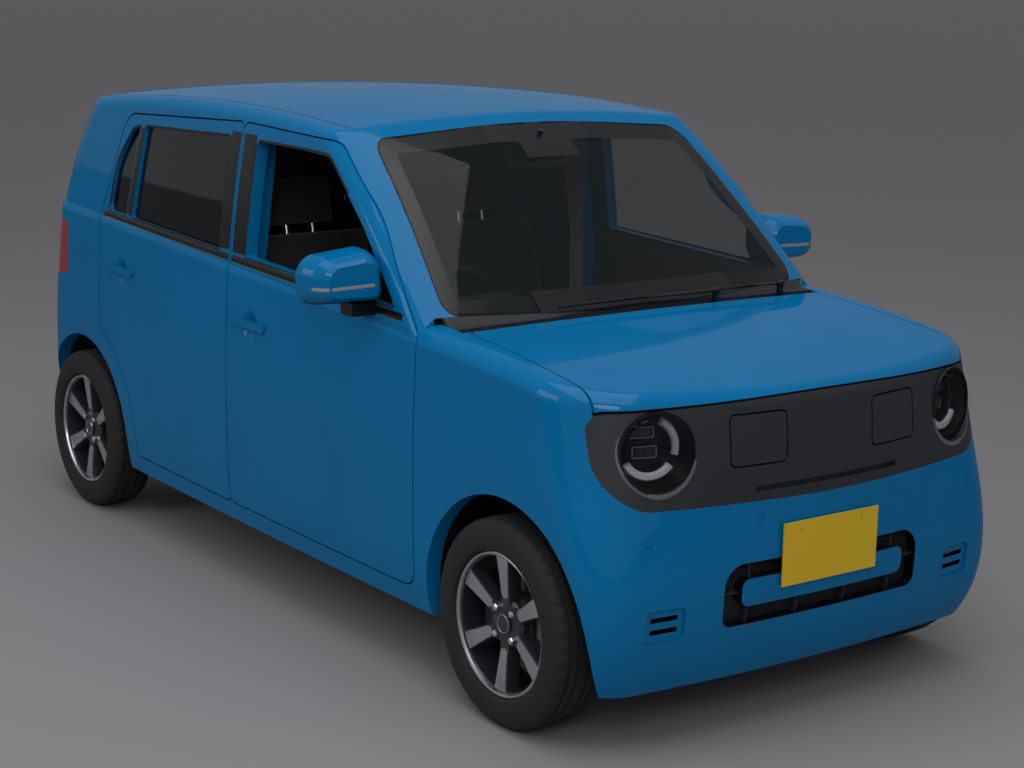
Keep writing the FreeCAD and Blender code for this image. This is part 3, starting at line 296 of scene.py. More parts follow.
def panel(x0, x1, y0, y1, r):
    """Rounded rectangle."""
    return rounded([(x0, y0, r), (x1, y0, r), (x1, y1, r), (x0, y1, r)])


def polar(radius, degrees):
    """Point on a circle round the origin."""
    return Vector((radius * math.cos(math.radians(degrees)), radius * math.sin(math.radians(degrees))))


def circle(radius, count=32):
    return [polar(radius, 360 * k / count) for k in range(count)]


def run_of(start, end, count):
    """Points spread evenly from one place to another."""
    return [Vector(start).lerp(Vector(end), share) for share in np.linspace(0, 1, count)]


def centre_of(outline):
    return sum(outline, Vector((0, 0))) / len(outline)


def stacked(n, rows, closed=False):
    """Faces between rows of n points each; the ends are capped unless the rows run round."""
    faces = []
    for k in range(rows if closed else rows - 1):
        m = (k + 1) % rows
        faces += [(k * n + i, k * n + (i + 1) % n, m * n + (i + 1) % n, m * n + i) for i in range(n)]
    if not closed:
        faces += [tuple(range(n))[::-1], tuple(range((rows - 1) * n, rows * n))]
    return faces


def outward(mesh):
    """Closes the seams of a new mesh and turns its faces outwards."""
    shaped = bmesh.new()
    shaped.from_mesh(mesh)
    bmesh.ops.remove_doubles(shaped, verts=shaped.verts, dist=1e-6)
    bmesh.ops.recalc_face_normals(shaped, faces=shaped.faces)
    shaped.to_mesh(mesh)
    shaped.free()


def placed(name, mesh, body):
    """Puts a finished mesh on the body that it rides on."""
    thing = bpy.data.objects.new(name, mesh)
    bpy.context.scene.collection.objects.link(thing)
    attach(thing, body)
    return thing


class Work:
    """Closed shapes gathered into one mesh."""

    def __init__(self):
        self.points, self.faces, self.slots, self.materials = [], [], [], []

    def put(self, points, faces, material):
        if material not in self.materials:
            self.materials.append(material)
        start = len(self.points)
        self.points += [Vector(p) for p in points]
        self.faces += [tuple(start + k for k in face) for face in faces]
        self.slots += [self.materials.index(material)] * len(faces)

    def stack(self, rows, material, closed=False):
        """Rows of points, as many in each, joined to one closed shape."""
        self.put([p for row in rows for p in row], stacked(len(rows[0]), len(rows), closed), material)

    def prism(self, frame, outline, low, high, material, bevel=0.0):
        """Outline raised from low to high, its top edge broken by a small slope."""
        middle = centre_of(outline)
        levels = [(low, 1.0), (high, 1.0)]
        if bevel:
            reach = max((p - middle).length for p in outline)
            levels = [(low, 1.0), (high - bevel, 1.0), (high, 1 - bevel / reach)]
        self.stack([[frame @ Vector((*(middle + (p - middle) * share), z)) for p in outline]
                    for z, share in levels], material)

    def band(self, frame, outer, inner, low, high, material):
        """Frame between two outlines of as many points, from low to high."""
        self.stack([[frame @ Vector((*p, z)) for p, z in ((a, low), (a, high), (b, high), (b, low))]
                    for a, b in zip(outer, inner)], material, closed=True)

    def lathe(self, frame, profile, material, count=64, start=0.0, sweep=360.0):
        """Closed profile (radius, along) turned about the frame's Z, all the way or over an arc."""
        whole = abs(sweep) >= 360
        self.stack([[frame @ Vector((*polar(r, start + sweep * k / count), z)) for r, z in profile]
                    for k in range(count if whole else count + 1)], material, closed=whole)

    def tube(self, path, radius, material, count=12, flat=1.0):
        """Round bar along points; flat squeezes its height."""
        rows = []
        for i, p in enumerate(path):
            way = (Vector(path[min(i + 1, len(path) - 1)]) - Vector(path[max(i - 1, 0)])).normalized()
            across = way.cross(Vector((0, 0, 1) if abs(way.z) < 0.9 else (0, 1, 0))).normalized()
            above = way.cross(across) * flat
            r = radius[i] if isinstance(radius, (list, tuple)) else radius
            rows.append([Vector(p) + across * q.x + above * q.y for q in circle(r, count)])
        self.stack(rows, material)

    def done(self, name, body, slot, angle=32.0, mirror=False):
        """Makes the object; mirror gives it on the other side of the car."""
        sign = Vector((-1, 1, 1)) if mirror else Vector((1, 1, 1))
        mesh = bpy.data.meshes.new(name)
        mesh.from_pydata([p * sign * MM for p in self.points], [], self.faces)
        for material in self.materials:
            mesh.materials.append(material)
        mesh.polygons.foreach_set("material_index", self.slots)
        outward(mesh)
        mesh.polygons.foreach_set("use_smooth", [True] * len(mesh.polygons))
        mesh.set_sharp_from_angle(angle=math.radians(angle))
        return placed(name, mesh, body)


def surface(*names):
    """The outside of some CAD nodes, to lay trim on."""
    points, faces = [], []
    for name in names:
        mesh = nodes[name].data
        start = len(points)
        points += [nodes[name].matrix_world @ v.co / MM for v in mesh.vertices]
        faces += [tuple(start + k for k in p.vertices) for p in mesh.polygons]
    return BVHTree.FromPolygons(points, faces)


def onto(tree, point, way, far=600.0):
    """Place and normal where a line through a point along a way meets the surface, or None for both."""
    return tree.ray_cast(Vector(point) - Vector(way) * far, Vector(way), far * 2)[:2]


def laid(work, tree, path, width, way, material, proud=0.8, deep=2.0, across=3, reach=600.0):
    """A strip laid on a surface along a path, its width measured square to path and way."""
    way = Vector(way).normalized()
    closed = (Vector(path[0]) - Vector(path[-1])).length < 0.01
    rows = []
    for i, p in enumerate(path):
        run = (Vector(path[min(i + 1, len(path) - 1)]) - Vector(path[max(i - 1, 0)])).normalized()
        out = run.cross(way).normalized()
        top, foot = [], []
        for k in range(across + 1):
            hit, normal = onto(tree, Vector(p) + out * width * (k / across - 0.5), way, reach)
            if hit is None:
                break
            if normal.dot(way) > 0:
                normal = -normal
            top.append(hit + normal * (proud if 0 < k < across else proud * 0.4))
            foot.append(hit - normal * deep)
        if len(top) == across + 1:
            rows.append(top + foot[::-1])
    if closed and len(rows) == len(path):
        work.stack(rows[:-1], material, closed=True)
    elif len(rows) > 1:
        work.stack(rows, material)


def between(points, step=25.0, closed=False):
    """Points spread along a polyline, no further apart than step."""
    out = []
    ends = points[1:] + (points[:1] if closed else [])
    for a, b in zip(points, ends):
        a, b = Vector(a), Vector(b)
        count = max(1, int((b - a).length / step))
        out += [a.lerp(b, k / count) for k in range(count)]
    out.append(Vector(points[0] if closed else points[-1]))
    return out


def tinted(name, rule):
    """Gives each face of a CAD node the material that the rule picks from its middle and normal."""
    mesh = nodes[name].data
    materials, index = list(mesh.materials), []
    for face in mesh.polygons:
        material = rule(face.center / MM, face.normal)
        if material is None:
            index.append(0)
            continue
        if material not in materials:
            materials.append(material)
            mesh.materials.append(material)
        index.append(materials.index(material))
    mesh.polygons.foreach_set("material_index", index)


def repeats(name, unit, material, body, frame, count, pitch=(0, 0, 0), ring=0.0, turn=0.0, bow=0.0):
    """Geometry Nodes: copies of a unit mesh in a row, or round a ring, made one plain mesh."""
    tree = bpy.data.node_groups.new(name, "GeometryNodeTree")
    tree.interface.new_socket("Geometry", in_out="OUTPUT", socket_type="NodeSocketGeometry")
    values = {"Count": ("NodeSocketInt", count), "Pitch": ("NodeSocketVector", Vector(pitch) * MM),
              "Ring radius": ("NodeSocketFloat", ring * MM), "First turn": ("NodeSocketFloat", turn),
              "Bow": ("NodeSocketFloat", bow / MM)}
    inputs = {}
    for label, (kind, value) in values.items():
        inputs[label] = tree.interface.new_socket(label, in_out="INPUT", socket_type=kind)
        inputs[label].default_value = value
    source = add(tree, "NodeGroupInput").outputs
    shape = add(tree, "GeometryNodeObjectInfo", {"transform_space": "ORIGINAL"},
                Object=unit).outputs["Geometry"]
    if ring:
        line = add(tree, "GeometryNodeMeshCircle", Vertices=source["Count"],
                   Radius=source["Ring radius"]).outputs["Mesh"]
        index = add(tree, "GeometryNodeInputIndex").outputs["Index"]
        step = add(tree, "ShaderNodeMath", {"operation": "DIVIDE"}, i0=math.tau,
                   i1=source["Count"]).outputs[0]
        angle = add(tree, "ShaderNodeMath", {"operation": "MULTIPLY_ADD"}, i0=index, i1=step,
                    i2=source["First turn"]).outputs[0]
        turned = add(tree, "ShaderNodeCombineXYZ", Z=angle).outputs["Vector"]
        whole = add(tree, "ShaderNodeCombineXYZ", Z=source["First turn"]).outputs["Vector"]
        line = add(tree, "GeometryNodeTransform", Geometry=line, Rotation=whole).outputs["Geometry"]
        spread = add(tree, "GeometryNodeInstanceOnPoints", Points=line, Instance=shape,
                     Rotation=turned).outputs["Instances"]
    else:
        line = add(tree, "GeometryNodeMeshLine", Count=source["Count"],
                   Offset=source["Pitch"]).outputs["Mesh"]
        place = add(tree, "GeometryNodeInputPosition").outputs["Position"]
        x = add(tree, "ShaderNodeSeparateXYZ", Vector=place).outputs["X"]
        square = add(tree, "ShaderNodeMath", {"operation": "MULTIPLY"}, i0=x, i1=x).outputs[0]
        sag = add(tree, "ShaderNodeMath", {"operation": "MULTIPLY"}, i0=square, i1=source["Bow"]).outputs[0]
        shift = add(tree, "ShaderNodeCombineXYZ", Z=sag).outputs["Vector"]
        line = add(tree, "GeometryNodeSetPosition", Geometry=line, Offset=shift).outputs["Geometry"]
        spread = add(tree, "GeometryNodeInstanceOnPoints", Points=line, Instance=shape).outputs["Instances"]
    real = add(tree, "GeometryNodeRealizeInstances", Geometry=spread).outputs["Geometry"]
    real = add(tree, "GeometryNodeSetMaterial", Geometry=real, Material=material).outputs["Geometry"]
    add(tree, "NodeGroupOutput", Geometry=real)
    holder = bpy.data.objects.new(name + "_maker", bpy.data.meshes.new(name + "_empty"))
    bpy.context.scene.collection.objects.link(holder)
    modifier = holder.modifiers.new("copies", "NODES")
    modifier.node_group = tree
    for label, (kind, value) in values.items():
        modifier[inputs[label].identifier] = value
    holder.data.update()
    bpy.context.view_layer.update()
    made = holder.evaluated_get(bpy.context.evaluated_depsgraph_get())
    mesh = bpy.data.meshes.new_from_object(made)
    scaled = frame.copy()
    scaled.translation = frame.translation * MM
    mesh.transform(scaled)
    bpy.data.objects.remove(holder)
    bpy.data.objects.remove(unit)
    mesh.name = name
    return placed(name, mesh, body)


def unit_shape(name, build):
    """A small mesh round the origin, as the unit that a tree repeats."""
    work = Work()
    build(work)
    mesh = bpy.data.meshes.new(name)
    mesh.from_pydata([p * MM for p in work.points], [], work.faces)
    outward(mesh)
    thing = bpy.data.objects.new(name, mesh)
    bpy.context.scene.collection.objects.link(thing)
    return thing


# What each face of a CAD node is made of.

SKIN_X, SILL_TOP = 735, 250  # between these and the middle, a face looks into the cabin
MIRROR_FOOT = (700, 1029)  # the foot is nearer the door and lower than these


def cabin_side(sign, inner):
    """Painted outside, another finish on the faces that look into the cabin."""
    return lambda middle, normal: inner if (
        -normal.x * sign > 0.55 and abs(middle.x) < SKIN_X and middle.z > SILL_TOP) else PAINT


def mirror_finish(middle, normal):
    if middle.z < MIRROR_FOOT[1] or abs(middle.x) < MIRROR_FOOT[0]:
        return BLACK
    return MIRROR if normal.y > 0.9 else PAINT


for side, sign in SIDES:
    tinted("door_front_" + side, cabin_side(sign, DOOR_CARD))
    tinted("door_rear_" + side, cabin_side(sign, DOOR_CARD))
    tinted("body_side_" + side, cabin_side(sign, HEADLINER))
    tinted("mirror_" + side, mirror_finish)
tinted("roof", lambda middle, normal: HEADLINER if normal.z < -0.45 else PAINT)
tinted("tailgate", lambda middle, normal: DOOR_CARD if normal.y < -0.5 else PAINT)
VENT_X, VENT_Z = (430, 594), (304, 398)  # skin on either side of an outer vent, and its height
bumper_skin = surface("front_bumper")


def vent_line(z):
    """How far back the skin lies beside and inside an outer vent, at one height."""
    hits = [onto(bumper_skin, (x, -1600, z), (0, 1, 0))[0] for x in (VENT_X[0], 511, VENT_X[1])]
    return [hit and hit.y for hit in hits]


beside, inside, beyond = vent_line(347)
VENT_DEPTH = max(inside - (beside + beyond) / 2, 0) + 4  # behind the face between the slots


def recessed(middle):
    """Is this place of the bumper behind the line between the skin on either side of an outer vent?"""
    x = abs(middle.x)
    if not (VENT_X[0] + 10 < x < VENT_X[1] - 9 and VENT_Z[0] < middle.z < VENT_Z[1]):
        return False
    near, _, far = vent_line(middle.z)
    share = (x - VENT_X[0]) / (VENT_X[1] - VENT_X[0])
    return None not in (near, far) and middle.y > near * (1 - share) + far * share + VENT_DEPTH


# Faces on the walls inside the grille opening and on the deep floors of the outer vents' slots are made
# black: painted shade in these recesses; the rest is painted.
def bumper_paint_and_recess_shade(middle, normal):
    in_opening = abs(middle.x) < 345 and 310 < middle.z < 484 and normal.y > -0.85
    return BLACK if in_opening or recessed(middle) else PAINT


tinted("front_bumper", bumper_paint_and_recess_shade)
tinted("floor_pan", lambda middle, normal: CARPET if normal.z > 0.5 and middle.z > 200 else CHASSIS)


# Wheels and tyres.

RIM_R, NUT_RING, NUTS, SPOKES = 190.0, 50.0, 4, 6
VALVE_AT = 60.16  # degrees round the wheel
SPOKE_DISH = 0.105  # how far a spoke comes out per millimetre towards the rim, from 60 on
TREAD_STEPS = 168  # round the tyre; every fourth one is a shoulder slot


def hub_frame(row, sign):
    """At a wheel's middle, Z pointing out of the car."""
    return frame_at((sign * WHEEL_X, AXLE_Y[row], AXLE_Z), (sign, 0, 0))


def spoke(work, frame):
    """One spoke: a dark bar with sloping sides, and the bright face that widens towards the rim."""
    def at(r, across, level, share=1.0):
        return frame @ Vector((80 + (r - 80) * share, across * share, level + max(0.0, r - 60) * SPOKE_DISH))

    half = ((50, 17), (92, 18), (180, 26))
    work.stack([[at(r, -w - grow, level) for r, w in half] + [at(r, w + grow, level) for r, w in half[::-1]]
                for level, grow in ((10, 7.0), (30, 4.0), (43.5, 0.0))], POCKET)
    root = [(80 - 14 * q.y, 14.5 * q.x) for q in (polar(1, a) for a in range(0, 181, 20))]
    face = root + [(130, -18.5), (181.5, -24.5), (181.5, 24.5), (130, 18.5)]
    work.stack([[at(r, w, level, share) for r, w in face]
                for level, share in ((43.0, 1.0), (45.0, 1.0), (45.6, 0.985))], ALLOY)


def tyre(row, side, sign):
    """Tyre with round shoulders, grooves round the tread and slots across its shoulders."""
    frame = hub_frame(row, sign)
    r, h = TYRE_R, TYRE_W / 2
    wall = [(RIM_R + up, h - under) for up, under in (
        (0.6, 20), (2, 10), (6, 4), (13, 1.2), (22, 0.3), (34, 0.2), (46, 1.0), (57, 3.2), (66, 6.5))]
    tread = [(r - down, h - under) for down, under in (
        (12, 10), (8, 13.5), (4.5, 18), (2.2, 24), (1.0, 30), (7, 31), (7, 38), (0.6, 39), (0.2, 56), (7, 57),
        (7, 64), (0, 65))]
    half = wall + tread
    ring = [(a, -b) for a, b in half] + half[::-1]
    rows = []
    for k in range(TREAD_STEPS):
        slots = [4.0 if k % 4 == 0 and 9 < h - abs(along) < 31 and radius > r - 14 else 0.0
                 for radius, along in ring]
        rows.append([frame @ Vector((*polar(radius - slot, 360 * k / TREAD_STEPS), along))
                     for (radius, along), slot in zip(ring, slots)])
    work = Work()
    work.stack(rows, RUBBER, closed=True)
    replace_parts(work.done("tyre_%s_%s_tread" % (row, side), "wheel_%s_%s" % (row, side), "tyre", angle=26),
                "tyre_%s_%s" % (row, side))


def wheel(row, side, sign):
    """Rim, spokes, hub with its plain cap, disc, nut seats and valve; the nuts repeat round the hub."""
    name = "wheel_%s_%s" % (row, side)
    frame = hub_frame(row, sign)
    work = Work()
    work.lathe(frame, [(189.6, 62), (184, 61), (177, 55), (175, 40), (171, 8), (168, -40), (170, -57),
                       (176, -63), (189.6, -63), (189.6, -44), (182, -24), (182, 24), (189.6, 44)], POCKET,
               count=96)
    work.lathe(frame, [(190.2, 60), (190.2, 65.6), (187, 67.2), (182.4, 65.6), (180.6, 60)], ALLOY, count=96)
    for k in range(SPOKES):
        spoke(work, frame @ Matrix.Rotation(math.tau * (k + 0.5) / SPOKES, 4, "Z"))
    work.lathe(frame, [(0.1, 14), (64, 14), (66, 32), (60, 41), (36, 44.5), (0.1, 44.5)], POCKET, count=60)
    work.lathe(frame, [(0.1, 43), (27, 43), (28.5, 49.4), (26, 51.6), (0.1, 52.4)], POCKET, count=48)
    work.lathe(frame, [(22.4, 51.2), (24, 52.6), (25.6, 51.2), (24, 50.2)], ALLOY, count=48)
    work.lathe(frame, [(30, -28), (119, -28), (120, -27), (120, -13), (119, -12), (77, -12), (75, -6),
                       (75, 14), (30, 14)], DISC, count=72)
    for k in range(NUTS):
        seat = frame @ Matrix.Translation((*polar(NUT_RING, 360 * (k + 0.5) / NUTS), 0))
        work.band(seat, circle(15.5, 24), circle(12.2, 24), 36, 43.5, POCKET)
    valve = [frame @ Vector((*polar(r, VALVE_AT), out)) for r, out in ((176, 48), (168, 60))]
    work.tube(valve, 3.2, RUBBER, count=8)
    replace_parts(work.done("wheel_shell_%s_%s" % (row, side), name, "alloy", angle=28), name)
    nut = unit_shape("nut_unit", lambda unit: unit.lathe(Matrix(), [
        (0.1, 0), (10.6, 0), (10.6, 11), (8.6, 14.5), (4.2, 16.4), (0.1, 16.8)], CHROME, count=6))
    repeats("wheel_nuts_%s_%s" % (row, side), nut, CHROME, name,
            frame @ Matrix.Translation((0, 0, 41.0)), NUTS, ring=NUT_RING, turn=math.pi / NUTS)


def caliper(side, sign):
    """Cast caliper over the front of a brake disc."""
    work = Work()
    work.prism(hub_frame("front", sign), [polar(148, a) for a in range(-24, 25, 6)]
               + [polar(86, a) for a in range(24, -25, -6)], -9.5, 7, CAST, bevel=2)
    work.done("caliper_" + side, "knuckle_" + side, "iron")


for side, sign in SIDES:
    for row in AXLE_Y:
        tyre(row, side, sign)
        wheel(row, side, sign)
    caliper(side, sign)

# Headlamps: two stacked units behind a split light guide, in a black cup.

LAMP_TURN = math.radians(16)  # outwards from straight ahead
LAMP_R = 100.8  # edge of the opening in the panel
lamp_frame = frame_at((-514, -1612, 779), (-math.sin(LAMP_TURN), -math.cos(LAMP_TURN), 0.05))


def inset(wide, high, edge, r):
    """Rounded rectangle round the origin, an edge smaller all round."""
    return panel(edge - wide / 2, wide / 2 - edge, edge - high / 2, high / 2 - edge, r)


def lamp_inside():
    """What shows behind a lamp's clear dome."""
    work = Work()
    work.prism(lamp_frame, circle(96.4, 64), -78, -74, BLACK)
    work.lathe(lamp_frame, [(96.8, -10), (96.8, -76), (94.4, -76), (92.4, -10)], BLACK, count=72)
    guide = lamp_frame @ Matrix.Translation((-9, 6, 0))
    for start, sweep, made_of, deep in ((-17, 80, GUIDE, -36), (-147, 108, RIBBED, -32)):
        work.lathe(guide, [(61, deep - 14), (61, deep - 2), (66, deep + 5), (78, deep + 4), (83, deep - 5),
                           (83, deep - 14)], made_of, count=40, start=start, sweep=sweep)
        for a in range(start + 2, start + 2 + sweep // 4 * 4, 4):
            work.lathe(guide, [(62, deep - 2), (66, deep + 6.5), (78, deep + 5.5), (82, deep - 3)],
                       RIBBED, count=2, start=a, sweep=1.1)
    work.lathe(guide, [(57.5, -70), (57.5, -38), (60, -35), (60, -70)], BLACK, count=64)
    for x, y, wide, high in ((-27, 41, 78, 27), (-13, -8, 66, 30)):
        seat = lamp_frame @ Matrix.Translation((x, y, -66))
        work.prism(seat, inset(wide, high, 0, 4), -4, 10, BLACK)
        work.band(seat, inset(wide, high, 0, 4), inset(wide, high, 2.2, 2.5), 9.5, 12.0, EDGE_AND_BELT_HIGHLIGHT)
        work.prism(seat @ Matrix.Translation((-wide / 5, 0, 0)), circle(high * 0.36, 28), 9, 15, PROJECTOR,
                   bevel=3)
        work.prism(seat @ Matrix.Translation((wide / 5, 0, 0)), inset(wide * 0.4, high * 0.56, 0, 3), 9, 12.5,
                   PROJECTOR, bevel=1)
    for y in (66, 17, -31):
        work.prism(lamp_frame @ Matrix.Translation((-22, y, -74)), inset(96, 3, 0, 1.2), 0, 22, BLACK)
    for x, y, tip in ((-52, 64, 10), (-24, 72, -14), (22, 74, 24), (42, 64, 24)):
        seat = lamp_frame @ Matrix.Translation((x, y, -24)) @ Matrix.Rotation(math.radians(-tip), 4, "Z")
        work.prism(seat, inset(16, 2.8, 0, 1.2), -6, -3, EDGE_AND_BELT_HIGHLIGHT)
    return work


def lamp_surround():
    """Step round a lamp on the panel, widest at its lower outer side, in plastic painted lighter as a
    highlight.
    """
    rows, steps = [], 72
    for k in range(steps + 1):
        wide = 0.6 + 10.5 * math.sin(math.pi * k / steps) ** 0.9
        row = []
        for radius in (LAMP_R + wide, LAMP_R + wide / 2, LAMP_R):
            spot = lamp_frame @ Vector((*polar(radius, -205 + 230 * k / steps), 0))
            row.append(onto(panel_skin, spot, (0, 1, 0))[0])
        if None not in row:
            rows.append([q + Vector((0, lift, 0)) for q, lift in zip(row, (-0.3, -1.2, -0.6))]
                        + [row[2] + Vector((0, 4, 0)), row[0] + Vector((0, 4, 0))])
    work = Work()
    work.stack(rows, BEZEL_HIGHLIGHT)
    return work


panel_skin = surface("front_panel")
for side, sign in SIDES:
    lamp_inside().done("headlamp_inside_" + side, "body", "black_gloss", mirror=sign > 0)
    lamp_surround().done("lamp_surround_" + side, "body", "dark_plastic", mirror=sign > 0)

# Front: mesh in the opening, plate edges, sensors.

RIB_FIRST, RIB_PITCH, RIBS, RIB_LONG = 4.0, 7.9, 42, 160.0  # distance from the middle, step, how many, length
grille_skin = surface("lower_grille")
foot, head, corner = (onto(grille_skin, (x, -1700, z), (0, 1, 0))[0]
                      for x, z in ((40, 330), (40, 470), (326, 340)))
tilt = (head - foot).normalized()
facing = tilt.cross(Vector((1, 0, 0)))
if facing.y > 0:
    facing = -facing
fall = (corner.y - foot.y) / (corner.x ** 2 - foot.x ** 2)
for side, sign in SIDES:
    rib = unit_shape("mesh_unit", lambda unit: unit.prism(
        Matrix(), inset(3.0, RIB_LONG, 0, 0), -2, 2.2, MESH))
    repeats("grille_mesh_" + side, rib, MESH, "body",
            frame_at((sign * RIB_FIRST, (foot.y + head.y) / 2, 397), facing, tilt), RIBS,
            pitch=(sign * RIB_PITCH, 0, 0), bow=-fall)
net = Work()
for z in (330, 345, 360, 440, 455, 470):
    laid(net, grille_skin, run_of((-330, -1700, z), (330, -1700, z), 34), 2.0, (0, 1, 0), MESH, proud=1.0,
         deep=1.0, across=1)
net.done("grille_wires", "body", "dark_plastic")


PLATE_WIDE, PLATE_HIGH = 328, 163  # over the pressed edge


def plate_trim(name, body, y, out, low):
    """Raised edge, painted lighter as a highlight, and two screws of a blank plate; out is the way that it
    faces.
    """
    work = Work()
    frame = frame_at((0, y, low + 82.5), (0, out, 0))
    work.band(frame, inset(PLATE_WIDE, PLATE_HIGH, 0, 8), inset(PLATE_WIDE, PLATE_HIGH, 5.5, 6), 0.0, 1.2,
              PLATE_EDGE_HIGHLIGHT)
    for s in (1, -1):
        work.prism(frame @ Matrix.Translation((s * 105, 58.5, 0)), circle(7.5, 20), 0.0, 1.6, ALLOY,
                   bevel=0.5)
    work.done(name, body, "plate")


plate_low = span("front_plate")[0]
plate_trim("front_plate_edge", "body", plate_low.y + 1.8, -1, plate_low.z)
back_low, back_high = span("rear_plate")
plate_trim("rear_plate_edge", "tailgate", back_high.y - 0.2, 1, back_low.z)

front_skin = surface("front_bumper", "front_fenders")
rear_skin = surface("rear_bumper")
work = Work()
for tree, way, spots in ((front_skin, (0, 1, 0), ((558, 563), (-558, 563), (232, 590), (-232, 590))),
                         (rear_skin, (0, -1, 0), ((560, 500), (-560, 500), (215, 500), (-215, 500)))):
    for x, z in spots:
        hit, normal = onto(tree, (x, 0, z), way, 3000)
        if hit is not None:
            seat = frame_at(hit, normal)
            work.prism(seat, circle(9.5, 28), -2, 0.7, PAINT, bevel=0.4)
            work.band(seat, circle(11.4, 28), circle(10, 28), -2, 0.25, BLACK)
work.done("parking_sensors", "body", "paint")

# Side trim: mouldings under the glass, black covers on the pillars, rubber round each pane.

WINDOWS = {  # (along, up, corner radius)
    "front": [[(-748, 1010, 15), (90, 1040, 12), (90, 1392, 28), (-322, 1380, 75), (-541, 1213, 700)]],
    "rear": [[(262, 1045, 12), (893, 1066, 12), (852, 1372, 25), (262, 1392, 28)],
             [(937, 1068, 8), (1080, 1072, 28), (1042, 1232, 200), (958, 1347, 40), (893, 1368, 10)]],
}
PILLAR_COVERS = {"front": (137, 76.0, 1048), "rear": (226, 60.0, 1052)}  # along, width, foot
COVER_TOP = 1404
MOULDING_PAST = {"front": (28, 84), "rear": (62, 26)}  # past the glass, ahead and behind


def seal(work, skin, outline, way, place, out, wide, step, steps):
    """Rubber round a pane whose outline is seen along a way; place turns its points to places."""
    ring = rounded(outline, steps)
    middle = centre_of(ring)
    points = [place(p + (p - middle).normalized() * out) for p in ring]
    laid(work, skin, between(points, step, closed=True), wide, way, RUBBER, proud=1.2, deep=1.5, across=2)


def door_trim(row, side, sign):
    """Moulding under the glass with a painted highlight line below it, dark pillar covers and rubber round
    each pane.
    """
    body, way = "door_%s_%s" % (row, side), (-sign, 0, 0)
    skin = surface(body)
    work = Work()
    start, end = WINDOWS[row][0][0][:2], WINDOWS[row][-1][1][:2]
    ahead, behind = MOULDING_PAST[row]
    slope = (end[1] - start[1]) / (end[0] - start[0])
    path = [Vector((sign * 700, y, start[1] + slope * (y - start[0]) - 13))
            for y in np.linspace(start[0] - ahead, end[0] + behind, 46)]
    laid(work, skin, path, 21.0, way, BLACK, proud=2.6, deep=2.0)
    # Painted highlight: a thin light grey line under the moulding, where the shoulder catches light.
    laid(work, skin, [p - Vector((0, 0, 11.5)) for p in path], 2.4, way, EDGE_AND_BELT_HIGHLIGHT, proud=1.6, deep=1.0, across=1)
    y, wide, foot = PILLAR_COVERS[row]
    laid(work, skin, run_of((sign * 690, y, foot), (sign * 690, y, COVER_TOP), 26), wide, way, BLACK,
         proud=1.0, deep=1.5, across=5)
    if row == "rear":
        laid(work, skin, run_of((sign * 690, 915, 1074), (sign * 690, 873, 1364), 20), 34.0, way, BLACK,
             proud=0.9, deep=1.5, across=3)
    for outline in WINDOWS[row]:
        seal(work, skin, outline, way, lambda p: (sign * 690, *p), 5.0, 8.0, 16.0, 6)
    work.done("door_trim_%s_%s" % (row, side), body, "black_gloss")


def door_lock(side, sign):
    """Lock cylinder of a front door."""
    body = "door_front_" + side
    hit, normal = onto(surface(body), (0, 118, 800), (-sign, 0, 0))
    if hit is not None:
        work = Work()
        work.prism(frame_at(hit, normal), circle(8.5, 24), -1, 0.8, PAINT, bevel=0.4)
        work.prism(frame_at(hit, normal), inset(2, 9, 0, 0.8), 0.6, 1.1, BLACK)
        work.done("door_lock_" + side, body, "paint")


for side, sign in SIDES:
    for row in ("front", "rear"):
        door_trim(row, side, sign)
    door_lock(side, sign)
    work = Work()
    # A strip of painted shade along the seam between roof and body side.
    seam = run_of((sign * 590, -330, 1500), (sign * 590, 1400, 1500), 70)
    laid(work, surface("body_side_" + side, "roof"), seam, 9.0, (0, 0, -1), PAINT_SEAM_SHADE, proud=0.7, deep=2.0,
         across=2, reach=400)
    if work.points:
        work.done("roof_seam_" + side, "body", "paint")

# Windscreen: printed black border, rubber seal, camera housing, mirror; wipers.

SCREEN = [(-634, 1004, 35), (0, 985, 8000), (634, 1004, 35), (556, 1428, 60), (0, 1466, 4000),
          (-556, 1428, 60)]
screen_skin = surface("windscreen")
ring = rounded(SCREEN, 10)
middle = centre_of(ring)
work = Work()
for inwards, wide, made_of, proud, across in ((28.0, 44.0, BLACK, 0.25, 4), (4.0, 8.0, RUBBER, 1.2, 2)):
    edge = [p - (p - middle).normalized() * inwards for p in ring]
    laid(work, screen_skin, between([(p.x, -700, p.y) for p in edge], 22.0, closed=True), wide, (0, 1, 0),
         made_of, proud=proud, deep=0.4, across=across)
for half, y, z, wide, count in ((590, -800, 1022, 52.0, 60), (95, -500, 1404, 74.0, 12)):
    laid(work, screen_skin, run_of((-half, y, z), (half, y, z), count), wide, (0, 1, 0), BLACK, proud=0.25,
         deep=0.4, across=3)
work.done("screen_border", "body", "black_gloss")

hit, normal = onto(screen_skin, (0, -500, 1402), (0, 1, 0))
work = Work()
seat = frame_at(hit - normal * 6, -normal, (0, 0, 1))
work.prism(seat, inset(124, 80, 0, 14), 0, 34, BLACK, bevel=8)
work.prism(seat @ Matrix.Translation((0, -6, 0)), circle(12, 28), -1.0, 2.5, PROJECTOR, bevel=0.5)
work.done("screen_camera", "body", "black_gloss")

foot = span("inner_mirror")[0].z
seat = frame_at((0, -398, foot + 33), (0, 0.98, -0.18))
work = Work()
work.prism(seat, inset(236, 62, 0, 16), -14, 8, BLACK, bevel=3)
work.prism(seat, inset(236, 62, 5, 12), 7.5, 8.6, MIRROR)
work.tube([(0, -402, foot + 50), (0, -410, foot + 84), (0, -420, foot + 112)], 8.0, BLACK, count=12)
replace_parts(work.done("inner_mirror_shell", "body", "black_gloss"), "inner_mirror")

WIPERS = ((250.0, -560.0), (500.0, -225.0))  # pivot, reach
WIPER_Y, ARM_Z = -940, 1014


